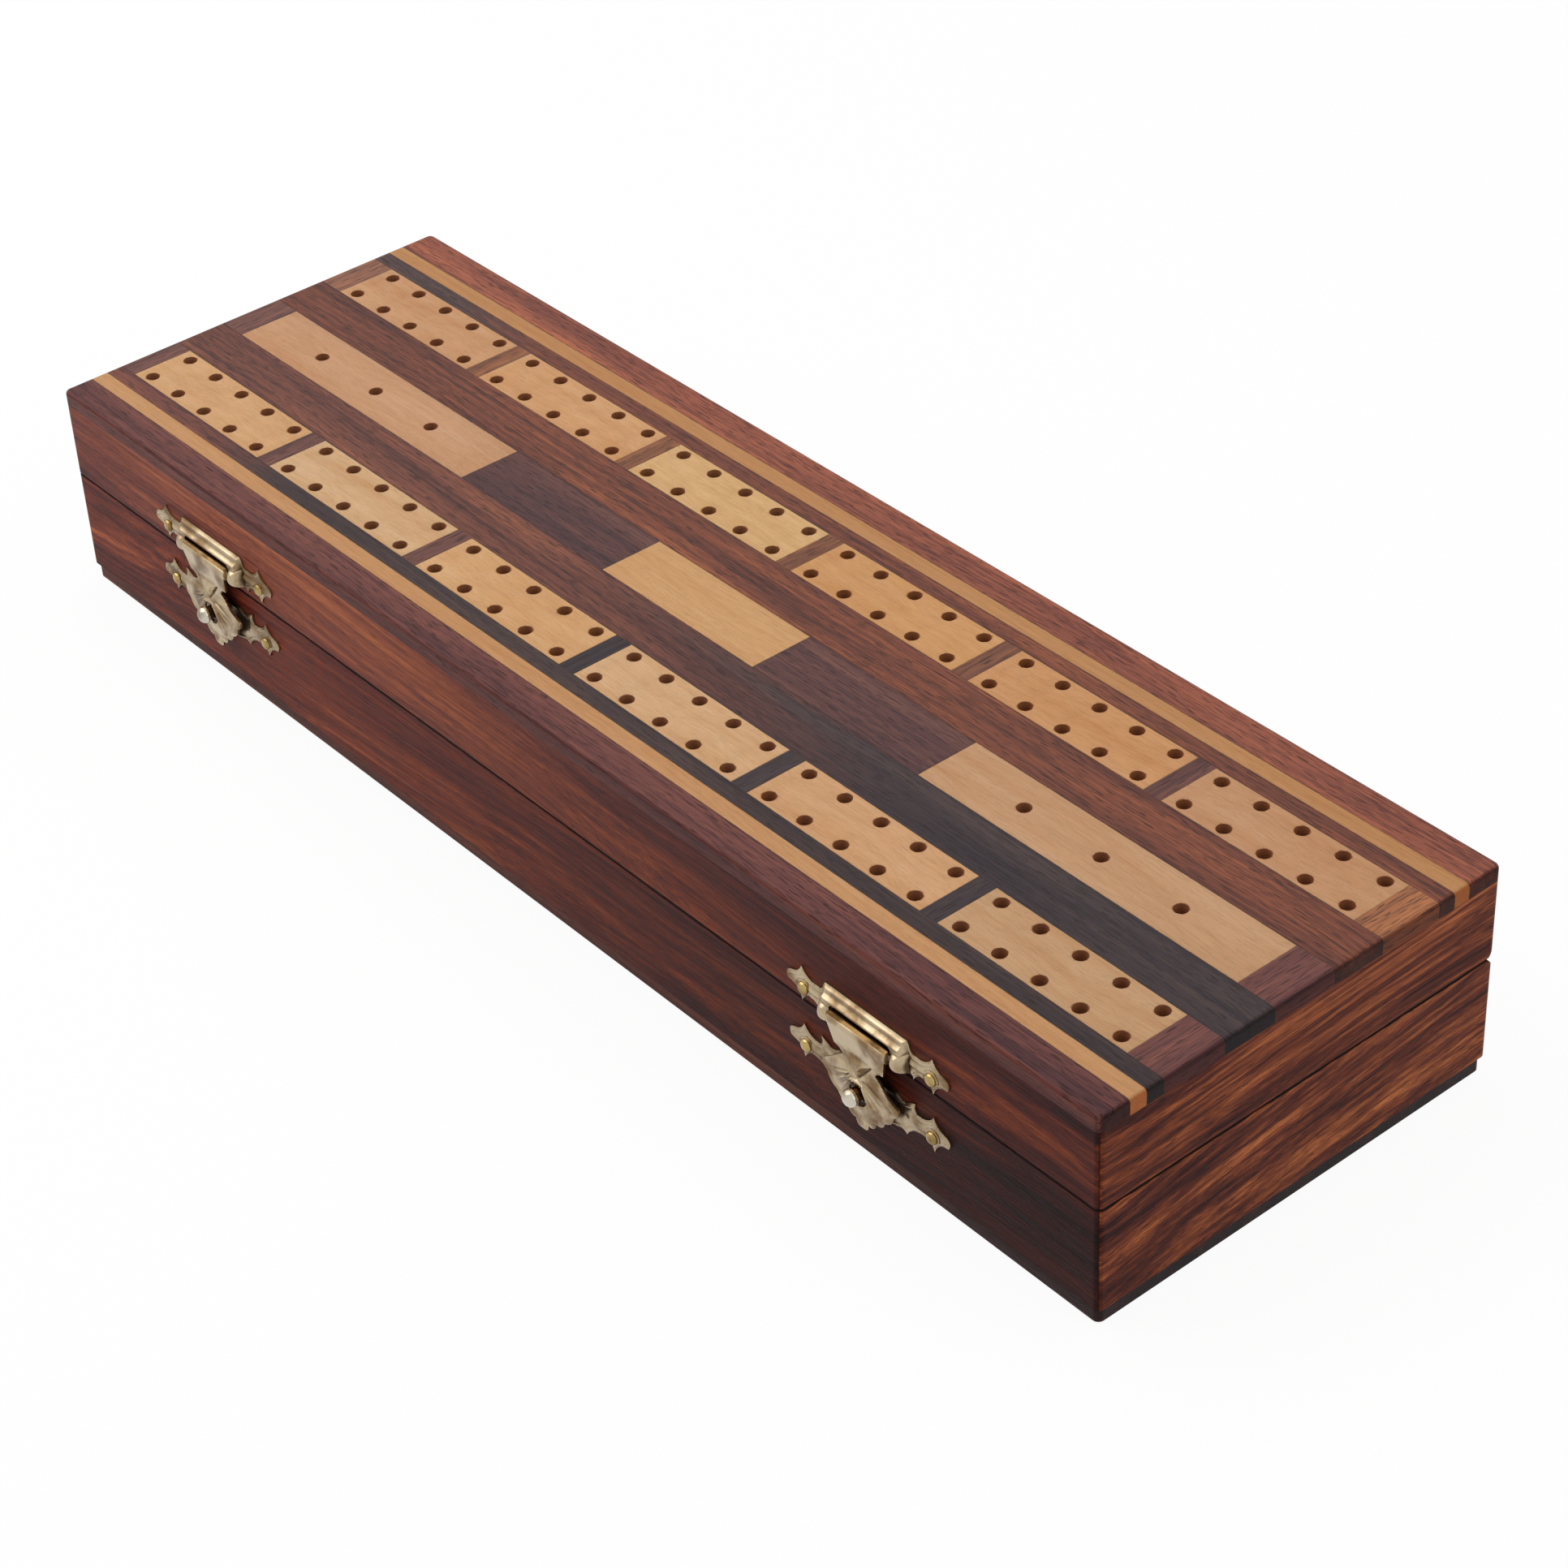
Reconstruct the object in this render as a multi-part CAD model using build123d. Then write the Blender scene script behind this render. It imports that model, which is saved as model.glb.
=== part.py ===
from build123d import *
import os
from math import atan2, cos, degrees, pi, radians, sin

# A wooden cribbage box: a shallow base with three wells, a hinged lid whose top is an
# inlaid pegging board, two butt hinges in a bevelled rear seam and two stamped hasps.
# X runs along the length, the latched front looks towards -Y, and Z is up. The origin
# is on the underside, in the middle of the length and of the width. Millimetres.

# ---- Case ----
length = 305.0
width = 93.4
height = 45.9
seam_z = 26.0            # where the lid meets the base
wall = 8.6               # thickness of the mitred boards
corner_r = 1.3           # eased upright corners
seam_ease = 0.3          # small bevel along the seam of base and lid
foot_ease = 0.5          # small bevel under the base boards and the bottom panel
panel_t = 3.3            # bottom panel
panel_inset = 0.6        # how far the bottom panel stands back from the boards
divider_t = 6.0
divider_drop = 1.2       # the dividers end this far below the seam
dado = 2.0               # how deep a divider is let into the front and back boards
peg_well = 80.0          # clear length of the middle well
bevel_depth = 1.75       # rear seam bevel, measured in from the back face
bevel_height = 2.1       # rear seam bevel, measured up and down from the seam

# ---- Inlaid top ----
deck_t = 3.3             # thickness that shows at the edges, over the boards
deck_core_t = 7.8        # full thickness, inside the boards
deck_edge_r = 0.9        # rounding along the top edge
front_border_w = 6.6
pale_line_w = 3.7
dark_line_w = 3.75
track_w = 13.6
centre_w = 13.9
back_border_w = 8.0
front_track_start = 5.2  # length of the front row's left end cap
front_track_end = 8.3    # and of its right end cap
back_track_start = 6.9
centre_start = 7.3
centre_end = 8.5
spacer_w = 4.3
blocks_per_track = 6
peg_block_l = 77.5
plain_block_l = 44.2
peg_hole_r = 1.4
peg_hole_depth = 6.0
peg_columns = 5
peg_end_margin = 3.5     # from a block's end to the middle of its first hole
peg_side_margin = 2.2
peg_hole_sides = 8       # the 120 track holes are cut with few sides; the others are round
game_peg_columns = 3
game_peg_pitch = 19.0

# ---- Hinges ----
small_sides = 8          # sides of the small held bores, nails, knuckles and studs
hinge_inset = 62.5       # from the case's end to the middle of a hinge
hinge_l = 25.0
leaf_depth = 6.0         # from the pin's axis to the leaf's inner edge
leaf_t = 0.8
leaf_gap = 0.1           # between the two closed leaves
knuckle_r = 1.6
hinge_pin_r = 0.65
knuckle_gap = 0.3        # between neighbouring knuckles
pocket_gap = 0.25        # wood to knuckle
hinge_nail_r = 0.45
hinge_nail_head_r = 0.9
hinge_nail_l = 5.0
hinge_nail_x = 8.0       # from the middle of the hinge
hinge_nail_y = 3.6       # from the pin's axis

# ---- Latches ----
latch_inset = {"left": 52.7, "right": 55.3}  # from the case's end to a latch's centre line
latch_lift = {"left": 1.0, "right": 0.0}  # fitted by hand, so one sits a little higher
sheet_t = 0.55
lid_plate_top = 7.8      # above the seam
lid_plate_half = 10.6    # half width of the plate between its ears
lid_ear_v = 3.9
base_ear_v = -8.9
base_plate_top = -5.4
base_plate_bottom = -13.0
ear_u = 16.4             # from the latch's centre line to an ear's middle
housing_h = 3.2          # how far the hinge housing stands out from the wood
housing_inset = 0.2      # from the plate's ends to the foot of the housing
housing_top_margin = 0.4
housing_low = 0.6
housing_cheek = 1.2      # how far the housing's crown reaches past the window's ends
crown_above = 1.1        # the crown's reach above and below the pin's axis
crown_below = 1.0
window_half = 7.75
window_top = 5.0
roll_v = 3.2             # axis of the rolled edge, above the seam
roll_w = 1.75            # axis of the rolled edge, out from the wood
roll_r = 1.45
roll_half = 7.4
lid_foot_half = 11.7      # the upper plate's half widths below its ears
lid_cheek_half = 10.0
base_top_half = 7.4       # the lower plate's half widths at its top, notches, wings and foot
base_notch_half = 9.6
base_wing_half = 12.0
base_foot_half = 8.4
latch_pin_r = 0.6
running_gap = 0.05
held_gap = 0.02
shoulder_half = 6.2
shoulder_v = -1.6
shoulder_w = 2.5         # outer face of the hasp at its shoulder
neck_half = 4.1
neck_v = -2.8
tip_v = -17.2
tip_w = 2.1              # outer face of the hasp at its tip
fan_v = -4.5             # centre of the fan's scallops
fan_notches = [(75, 9.85), (60, 9.8), (38, 9.8), (21, 10.3), (8, 11.4)]
scallop_sag = 0.45
rib_count = 5
rib_spread = 120.0       # degrees, from the first rib to the last
rib_start = 1.6
rib_end = 7.6
rib_w = 0.7
rib_h = 0.35
stud_v = -8.9
stud_r = 1.35
stud_l = 3.45            # shank, from the base plate to the head
stud_head_r = 1.75
stud_rim_h = 0.5
stud_dome_h = 1.3
stud_crown_r = 0.6
stud_sides = 12
stud_hole_r = 2.0
stud_hole_travel = 0.9   # the hole is longer downwards, for the hasp's swing
nail_r = 0.5
nail_head_r = 1.3
nail_crown_r = 0.7
nail_head_h = 0.75
nail_l = 6.0
nail_gap = 0.05
ear_nail_u = 0.3         # nails sit this far inside the ear's middle
ear_nail_v = -0.8

hinge_y = width / 2 - bevel_depth
deck_z = height - deck_t
front_y = -width / 2
back_y = width / 2
left_x = -length / 2
right_x = length / 2

# What is left over for the pieces that fill the top.
wide_strip_w = (width - front_border_w - back_border_w - centre_w
                - 2 * (pale_line_w + dark_line_w + track_w)) / 2
track_block_l = (length - front_track_start - front_track_end
                 - spacer_w * (blocks_per_track - 1)) / blocks_per_track
filler_l = (length - centre_start - centre_end - 2 * peg_block_l - plain_block_l) / 2
peg_pitch = (track_block_l - 2 * peg_end_margin) / (peg_columns - 1)
peg_row_gap = track_w - 2 * peg_side_margin
hinge_x = length / 2 - hinge_inset
latch_x = {"left": left_x + latch_inset["left"], "right": right_x - latch_inset["right"]}


# ---- Helpers ----
def span(x0, x1, y0, y1, z0, z1):
    """A block between two corners."""
    middle = Pos((x0 + x1) / 2, (y0 + y1) / 2, (z0 + z1) / 2)
    return middle * Box(x1 - x0, y1 - y0, z1 - z0)


def prism(points, z0, z1):
    """A plan outline, raised from z0 to z1."""
    return Pos(0, 0, z0) * extrude(Polygon(*points, align=None), z1 - z0)


def rod_x(radius, x0, x1, y, z):
    """A round bar along X."""
    return Pos((x0 + x1) / 2, y, z) * Rot(0, 90, 0) * Cylinder(radius, x1 - x0)


def facet_rod(radius, sides, rod_l):
    """A bar along Z with flat sides that just clear a round one of that radius."""
    return extrude(RegularPolygon(radius, sides, major_radius=False), rod_l / 2, both=True)


def rounded_case(inset, z0, z1):
    """The case's plan with its upright corners rounded, set back by inset."""
    body = span(left_x + inset, right_x - inset, front_y + inset, back_y - inset, z0, z1)
    return fillet(body.edges().filter_by(Axis.Z), corner_r)


def ease_top(body, size):
    return chamfer(body.faces().sort_by(Axis.Z)[-1].edges(), size)


def ease_bottom(body, size):
    return chamfer(body.faces().sort_by(Axis.Z)[0].edges(), size)


def tapered(sides, stages):
    """A bar along Z with flat sides, narrowed or widened between (radius, z) stages."""
    steps = []
    for (r0, z0), (r1, z1) in zip(stages, stages[1:]):
        lean = degrees(atan2((r0 - r1) * cos(pi / sides), z1 - z0))
        steps.append(Pos(0, 0, z0) * extrude(RegularPolygon(r0, sides), z1 - z0, taper=lean))
    return steps[0] + steps[1:]


def mirrored_face(half):
    """A face symmetric about u = 0, from the (u, v, bulge) points of its right half.

    A bulge is how far the stretch that ends there bends out of straight, at its middle.
    """
    right = [half[0][:2]]
    for (u0, v0, _), (u1, v1, bulge) in zip(half, half[1:]):
        if bulge:
            run = ((u1 - u0) ** 2 + (v1 - v0) ** 2) ** 0.5
            right.append(((u0 + u1) / 2 - (v1 - v0) / run * bulge,
                          (v0 + v1) / 2 + (u1 - u0) / run * bulge))
        right.append((u1, v1))
    left = [(-u, v) for u, v in right if u > 0]
    return Polygon(*left, *reversed(right), align=None)


# ---- Case boards ----
def rear_bevel():
    """The V that is cut along the rear seam, with its point on the hinge axis."""
    reach = 1.0
    rise = bevel_height * (bevel_depth + reach) / bevel_depth
    points = [(hinge_y, seam_z), (back_y + reach, seam_z - rise), (back_y + reach, seam_z + rise)]
    face = Plane.YZ * Polygon(*points, align=None)
    return extrude(face, length, both=True)


def mitred_boards(z0, z1, envelope):
    """Front, back, left and right boards, mitred at the corners and cut to the envelope."""
    outer = {
        "front": ((left_x, front_y), (right_x, front_y)),
        "right": ((right_x, front_y), (right_x, back_y)),
        "back": ((right_x, back_y), (left_x, back_y)),
        "left": ((left_x, back_y), (left_x, front_y)),
    }
    boards = {}
    for side, (start, end) in outer.items():
        inner = [(x - wall * (1 if x > 0 else -1), y - wall * (1 if y > 0 else -1))
                 for x, y in (end, start)]
        boards[side] = prism([start, end, *inner], z0, z1) & envelope
    return boards


def divider_block(sign):
    """One cross divider, with its ends let into the front and back boards."""
    inner = sign * peg_well / 2
    outer = inner + sign * divider_t
    reach = width / 2 - wall + dado
    return span(min(inner, outer), max(inner, outer), -reach, reach,
                panel_t, seam_z - divider_drop)


def base_case():
    """The base's four boards, bottom panel and two dividers."""
    envelope = ease_bottom(ease_top(rounded_case(0, panel_t, seam_z), seam_ease), foot_ease)
    boards = mitred_boards(panel_t, seam_z, envelope - rear_bevel())
    dividers = [divider_block(-1), divider_block(1)]
    boards["front"] = boards["front"] - dividers
    boards["back"] = boards["back"] - dividers - hinge_pockets(-1)
    nodes = {f"base_{side}_board": board for side, board in boards.items()}
    nodes["bottom_panel"] = ease_bottom(rounded_case(panel_inset, 0, panel_t), foot_ease)
    nodes["left_divider"], nodes["right_divider"] = dividers
    return nodes


def lid_frame():
    """The lid's four boards."""
    envelope = ease_bottom(rounded_case(0, seam_z, deck_z), seam_ease) - rear_bevel()
    boards = mitred_boards(seam_z, deck_z, envelope)
    boards["back"] = boards["back"] - hinge_pockets(1)
    return {f"lid_{side}_board": board for side, board in boards.items()}


# ---- Inlaid top ----
def deck_envelope():
    """The whole top: a rim that covers the boards, over a core that drops between them."""
    rim = rounded_case(0, deck_z, height)
    rim = fillet(rim.faces().sort_by(Axis.Z)[-1].edges(), deck_edge_r)
    core = span(left_x + wall, right_x - wall, front_y + wall, back_y - wall,
                height - deck_core_t, deck_z)
    return rim + core


def deck_rows():
    """Front to back: each strip's name and its two edges."""
    widths = [
        ("front_border_strip", front_border_w),
        ("front_maple_line", pale_line_w),
        ("front_ebony_line", dark_line_w),
        ("front_track", track_w),
        ("front_wide_strip", wide_strip_w),
        ("centre", centre_w),
        ("back_wide_strip", wide_strip_w),
        ("back_track", track_w),
        ("back_dark_line", dark_line_w),
        ("back_maple_line", pale_line_w),
    ]
    rows = {}
    y = front_y
    for name, strip_w in widths:
        rows[name] = (y, y + strip_w)
        y += strip_w
    rows["back_border_strip"] = (y, back_y)
    return rows


def deck_piece(x0, x1, row):
    """One piece of the top, full depth, cut to the top's own outline."""
    return span(x0, x1, row[0], row[1], height - deck_core_t, height) & DECK


def peg_holes(x0, x1, row, drill, columns, pitch, row_offsets):
    """Blind holes in even columns, centred on a block."""
    first = (x0 + x1) / 2 - pitch * (columns - 1) / 2
    middle = (row[0] + row[1]) / 2
    return [Pos(first + i * pitch, middle + dy, height - peg_hole_depth / 2) * drill
            for i in range(columns) for dy in row_offsets]


def track_row(side, row, start):
    """Six drilled blocks with their spacers; gives back the nodes and the row's right end."""
    nodes = {}
    spacers = []
    drill = facet_rod(peg_hole_r, peg_hole_sides, peg_hole_depth)
    x = left_x + start
    for number in range(1, blocks_per_track + 1):
        block = deck_piece(x, x + track_block_l, row)
        holes = peg_holes(x, x + track_block_l, row, drill, peg_columns, peg_pitch,
                          (-peg_row_gap / 2, peg_row_gap / 2))
        nodes[f"{side}_track_block_{number}"] = block - holes
        x += track_block_l
        if number < blocks_per_track:
            spacers.append(deck_piece(x, x + spacer_w, row))
            x += spacer_w
    nodes[f"{side}_track_spacers"] = Compound(spacers)
    return nodes, x


def centre_row(row):
    """Two drilled blocks, a plain one between them and two dark fillers."""
    nodes = {}
    drill = Cylinder(peg_hole_r, peg_hole_depth)
    x = left_x + centre_start
    for name, piece_l in (("left_peg_block", peg_block_l), ("left_filler", filler_l),
                          ("plain_block", plain_block_l), ("right_filler", filler_l),
                          ("right_peg_block", peg_block_l)):
        piece = deck_piece(x, x + piece_l, row)
        if name.endswith("peg_block"):
            piece = piece - peg_holes(x, x + piece_l, row, drill, game_peg_columns,
                                      game_peg_pitch, (0,))
        nodes[f"centre_{name}"] = piece
        x += piece_l
    return nodes, x


def inlaid_top():
    """Every piece of the top, each a separate strip, block, spacer or cap."""
    rows = deck_rows()
    nodes = {name: deck_piece(left_x, right_x, row) for name, row in rows.items()
             if name not in ("front_track", "centre", "back_track")}
    front, front_end = track_row("front", rows["front_track"], front_track_start)
    back, back_end = track_row("back", rows["back_track"], back_track_start)
    centre, centre_end = centre_row(rows["centre"])
    nodes.update(front)
    nodes.update(back)
    nodes.update(centre)
    starts = {"front_track": front_track_start, "centre": centre_start,
              "back_track": back_track_start}
    ends = {"front_track": front_end, "centre": centre_end, "back_track": back_end}
    nodes["left_end_caps"] = Compound(
        [deck_piece(left_x, left_x + start, rows[name]) for name, start in starts.items()])
    nodes["right_end_caps"] = Compound(
        [deck_piece(end, right_x, rows[name]) for name, end in ends.items()])
    return nodes


# ---- Hinges ----
def hinge_pockets(side):
    """What a back board loses to both hinges: leaf mortises and knuckle grooves."""
    cuts = []
    depth = leaf_t + leaf_gap / 2
    for x in (-hinge_x, hinge_x):
        x0, x1 = x - hinge_l / 2, x + hinge_l / 2
        z0, z1 = sorted((seam_z, seam_z + side * depth))
        cuts.append(span(x0, x1, hinge_y - leaf_depth, hinge_y, z0, z1))
        cuts.append(rod_x(knuckle_r + pocket_gap, x0, x1, hinge_y, seam_z))
    return cuts


def hinge_leaf(x, side, knuckles, bore):
    """A leaf with its knuckles; side is -1 for the base's leaf and 1 for the lid's."""
    pitch = (hinge_l + knuckle_gap) / 3
    start = x - hinge_l / 2
    z0, z1 = sorted((seam_z + side * leaf_gap / 2, seam_z + side * (leaf_gap / 2 + leaf_t)))
    leaf = span(start, start + hinge_l, hinge_y - leaf_depth, hinge_y, z0, z1)
    for number in range(3):
        x0 = start + number * pitch
        x1 = x0 + pitch - knuckle_gap
        if number in knuckles:
            knuckle = facet_rod(knuckle_r * cos(pi / small_sides), small_sides, x1 - x0)
            leaf = leaf + Pos((x0 + x1) / 2, hinge_y, seam_z) * Rot(0, 90, 0) * knuckle
        else:
            leaf = leaf - rod_x(knuckle_r + pocket_gap, x0 - knuckle_gap, x1 + knuckle_gap,
                                hinge_y, seam_z)
    return leaf - bore - hinge_nails(x, side, nail_gap)


def hinge_nails(x, side, gap):
    """Two countersunk nails through a leaf, or their holes where gap is above zero."""
    face_z = seam_z + side * leaf_gap / 2
    sink = hinge_nail_head_r - hinge_nail_r
    waist = hinge_nail_r + gap
    nail = tapered(small_sides, [(waist, -hinge_nail_l), (waist, -sink),
                                 (hinge_nail_head_r + gap, 0)])
    turn = Rot(180, 0, 0) if side > 0 else Rot(0, 0, 0)
    return [Pos(x + dx, hinge_y - hinge_nail_y, face_z) * turn * nail
            for dx in (-hinge_nail_x, hinge_nail_x)]


def hinges():
    """Leaves, pins and nails of both hinges."""
    nodes = {}
    pins = []
    nails = {"base": [], "lid": []}
    for name, x in (("left", -hinge_x), ("right", hinge_x)):
        x0, x1 = x - hinge_l / 2, x + hinge_l / 2
        held_bore = Pos(x, hinge_y, seam_z) * Rot(0, 90, 0) * facet_rod(
            hinge_pin_r + held_gap, small_sides, hinge_l)
        running_bore = rod_x(hinge_pin_r + running_gap, x0, x1, hinge_y, seam_z)
        nodes[f"{name}_hinge_base_leaf"] = hinge_leaf(x, -1, (0, 2), held_bore)
        nodes[f"{name}_hinge_lid_leaf"] = hinge_leaf(x, 1, (1,), running_bore)
        pins.append(rod_x(hinge_pin_r, x0, x1, hinge_y, seam_z))
        nails["base"] += hinge_nails(x, -1, 0)
        nails["lid"] += hinge_nails(x, 1, 0)
    nodes["hinge_pins"] = Compound(pins)
    nodes["hinge_base_nails"] = Compound(nails["base"])
    nodes["hinge_lid_nails"] = Compound(nails["lid"])
    return nodes


# ---- Latches, in their own frame: u along X, v up from the seam, w out from the wood ----
def ear(v):
    """A three-pointed ear, from its neck's upper edge round to the lower edge."""
    steps = [(-4.1, 1.8, -0.3), (0.1, 3.8, -0.6), (2.8, 1.5, -0.45), (3.7, -0.9, 0.75),
             (0.2, -3.7, -0.6), (-2.8, -1.9, -0.5)]
    return [(ear_u + du, v + dv, sag) for du, dv, sag in steps]


def nail_spots(ear_v):
    """The two nails of a plate."""
    return [(sign * (ear_u - ear_nail_u), ear_v + ear_nail_v) for sign in (-1, 1)]


def nail_holes(ear_v):
    return [Pos(u, v, sheet_t / 2) * facet_rod(nail_r + nail_gap, small_sides, sheet_t)
            for u, v in nail_spots(ear_v)]


def nails(ear_v):
    """Round-headed nails whose heads rest on the plate."""
    head = tapered(small_sides, [(nail_head_r, 0), (nail_crown_r, nail_head_h)])
    shank = tapered(small_sides, [(nail_r, -nail_l), (nail_r, 0)])
    return [Pos(u, v, sheet_t) * (head + shank) for u, v in nail_spots(ear_v)]


def housing():
    """The raised pillow over the rolled edge, tapering out from the plate."""
    foot_half = lid_plate_half - housing_inset
    crown_half = window_half + housing_cheek
    foot_high = lid_plate_top - housing_top_margin
    body = Wedge(2 * foot_half, housing_h - sheet_t / 2, foot_high - housing_low,
                 foot_half - crown_half, foot_high - roll_v - crown_above,
                 foot_half + crown_half, foot_high - roll_v + crown_below,
                 align=(Align.MIN, Align.MIN, Align.MIN))
    return Pos(-foot_half, foot_high, sheet_t / 2) * Rot(90, 0, 0) * body


def lid_plate():
    """The upper plate: ears, a housing for the pin, and the window of the rolled edge."""
    half = [(0, lid_plate_top, 0), (lid_plate_half, lid_plate_top, 0), *ear(lid_ear_v),
            (lid_foot_half, 0.3, -0.3), (lid_cheek_half, 1.4, -0.4), (window_half - 1, 1.4, 0),
            (window_half - 1, window_top - 1, 0), (0, window_top - 1, 0)]
    plate = extrude(mirrored_face(half), sheet_t) + housing()
    window_low = roll_v - roll_r - 3.0
    window = span(-window_half, window_half, window_low, window_top, -1, housing_h + 1)
    bore = Pos(0, roll_v, roll_w) * Rot(0, 90, 0) * facet_rod(
        latch_pin_r + held_gap, small_sides, 2 * lid_plate_half)
    return plate - window - bore - nail_holes(lid_ear_v)


def latch_pin():
    """The pin that the hasp swings on, held at both ends in the housing."""
    reach = window_half + housing_cheek
    return rod_x(latch_pin_r, -reach, reach, roll_v, roll_w)


def base_plate():
    """The lower plate, mostly behind the hasp."""
    half = [(0, base_plate_top, 0), (base_top_half, base_plate_top, 0),
            (base_notch_half, base_plate_top - 0.7, -0.2),
            (base_wing_half, base_plate_top + 0.4, 0), *ear(base_ear_v),
            (base_notch_half, base_plate_bottom - 0.3, -0.6),
            (base_foot_half, base_plate_bottom + 0.4, -0.2), (0, base_plate_bottom, 0.6)]
    return extrude(mirrored_face(half), sheet_t) - nail_holes(base_ear_v)


def stud():
    """The post that the hasp closes over."""
    neck_w = sheet_t + stud_l
    rim_w = neck_w + stud_rim_h
    stages = [(stud_r, sheet_t), (stud_r, neck_w), (stud_head_r, rim_w),
              (stud_head_r * 0.8, rim_w + stud_dome_h * 0.7), (stud_crown_r, rim_w + stud_dome_h)]
    return Pos(0, stud_v, 0) * tapered(stud_sides, stages)


def fan_points():
    """The hasp's scalloped lower edge, from the right wing to the tip."""
    points = []
    for number, (angle, radius) in enumerate(fan_notches):
        sag = 0 if number == 0 else scallop_sag
        points.append((radius * sin(radians(angle)), fan_v - radius * cos(radians(angle)), sag))
    return [*points, (0, tip_v, scallop_sag)]


def hasp_ribs():
    """Ribs that spread from the neck over the fan."""
    foot_w = tip_w - sheet_t / 2
    crest_w = shoulder_w + rib_h - 0.1
    section = Polygon((-rib_w / 2, foot_w), (rib_w / 2, foot_w), (0, crest_w), align=None)
    rib = extrude(Plane.XZ * section, rib_end - rib_start)
    first = -rib_spread / 2
    step = rib_spread / (rib_count - 1)
    return [Pos(0, fan_v, 0) * Rot(0, 0, first + number * step) * Pos(0, -rib_start, 0) * rib
            for number in range(rib_count)]


def stud_hole():
    """The hasp's hole, drawn out downwards so that it swings clear of the stud's head."""
    ring = []
    for number in range(stud_sides):
        turn = 2 * pi * (number + 0.5) / stud_sides
        v = stud_v + stud_hole_r * sin(turn)
        ring.append((stud_hole_r * cos(turn), v if v > stud_v else v - stud_hole_travel))
    return extrude(Polygon(*ring, align=None), housing_h + 1)


def hasp():
    """The swinging hasp: rolled edge, tapered leaf, narrow neck and scalloped fan."""
    half = [(0, roll_v, 0), (roll_half, roll_v, 0), (shoulder_half, shoulder_v, 0),
            (neck_half, neck_v, -0.2), *fan_points()]
    outline = extrude(mirrored_face(half), housing_h + 1)
    roll_face = roll_w + roll_r
    past = tip_v - 1
    past_w = tip_w - (shoulder_w - tip_w) / (shoulder_v - tip_v)
    side = Polygon((roll_v, roll_face), (shoulder_v, shoulder_w), (past, past_w),
                   (past, past_w - sheet_t), (shoulder_v, shoulder_w - sheet_t),
                   (roll_v, roll_face - sheet_t), align=None)
    leaf = outline & extrude(Plane.YZ * side, 2 * lid_plate_half, both=True)
    roll = Pos(0, roll_v, roll_w) * Rot(0, 90, 0) * facet_rod(
        roll_r * cos(pi / stud_sides), stud_sides, 2 * roll_half)
    leaf = leaf + hasp_ribs() + roll
    bore = rod_x(latch_pin_r + running_gap, -roll_half, roll_half, roll_v, roll_w)
    return leaf - bore - stud_hole()


def latches():
    """Both latches, set on the front face."""
    nodes = {}
    pins = []
    lid_nails = []
    base_nails = []
    for side, x in latch_x.items():
        place = Plane(origin=(x, front_y, seam_z + latch_lift[side]), x_dir=(1, 0, 0),
                      z_dir=(0, -1, 0)).location
        nodes[f"{side}_latch_lid_plate"] = place * lid_plate()
        nodes[f"{side}_latch_hasp"] = place * hasp()
        nodes[f"{side}_latch_base_plate"] = place * base_plate()
        nodes[f"{side}_latch_stud"] = place * stud()
        pins.append(place * latch_pin())
        lid_nails += [place * nail for nail in nails(lid_ear_v)]
        base_nails += [place * nail for nail in nails(base_ear_v)]
    nodes["latch_pins"] = Compound(pins)
    nodes["latch_lid_nails"] = Compound(lid_nails)
    nodes["latch_base_nails"] = Compound(base_nails)
    return nodes


DECK = deck_envelope()

if __name__ == "__main__":
    os.makedirs("parts", exist_ok=True)
    nodes = {**base_case(), **lid_frame(), **inlaid_top(), **hinges(), **latches()}
    for name, shape in nodes.items():
        export_step(shape, f"parts/{name}.step")
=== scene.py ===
import math

import bpy
import numpy as np
from mathutils import Matrix, Vector


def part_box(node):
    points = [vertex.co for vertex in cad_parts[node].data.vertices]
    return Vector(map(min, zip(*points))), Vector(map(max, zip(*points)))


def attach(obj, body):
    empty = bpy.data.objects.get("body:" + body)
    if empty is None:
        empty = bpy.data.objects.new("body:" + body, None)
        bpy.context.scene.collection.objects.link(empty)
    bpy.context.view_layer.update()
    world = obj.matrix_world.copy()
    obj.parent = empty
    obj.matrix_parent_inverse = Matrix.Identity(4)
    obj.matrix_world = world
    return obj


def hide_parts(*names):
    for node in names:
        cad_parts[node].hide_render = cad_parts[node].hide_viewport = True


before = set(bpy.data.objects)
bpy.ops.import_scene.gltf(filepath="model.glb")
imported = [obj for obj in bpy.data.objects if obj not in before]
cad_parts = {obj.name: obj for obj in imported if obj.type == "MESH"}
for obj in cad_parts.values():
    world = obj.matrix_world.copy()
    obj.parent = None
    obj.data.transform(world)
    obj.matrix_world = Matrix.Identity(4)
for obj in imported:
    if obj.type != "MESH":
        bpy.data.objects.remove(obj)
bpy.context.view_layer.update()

# A wooden cribbage box with an inlaid pegging board for its lid and two stamped hasps.
# X runs along the length, the latched front looks towards -Y, and Z is up. Metres.

MM = 0.001
CASE_LOW = Vector(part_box("back_border_strip")[0])
CASE_HIGH = Vector(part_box("back_border_strip")[1])
FRONT_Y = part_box("front_border_strip")[0][1]
CASE_LOW.y = FRONT_Y
SEAM_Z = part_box("lid_front_board")[0][2]
CASE_MIDDLE = (CASE_LOW + CASE_HIGH) / 2
CASE_HALF = (CASE_HIGH - CASE_LOW) / 2
PEG_R = 1.4 * MM
PEG_DEPTH = 6.0 * MM
PEG_FLOOR_Z = CASE_HIGH.z - PEG_DEPTH

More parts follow.
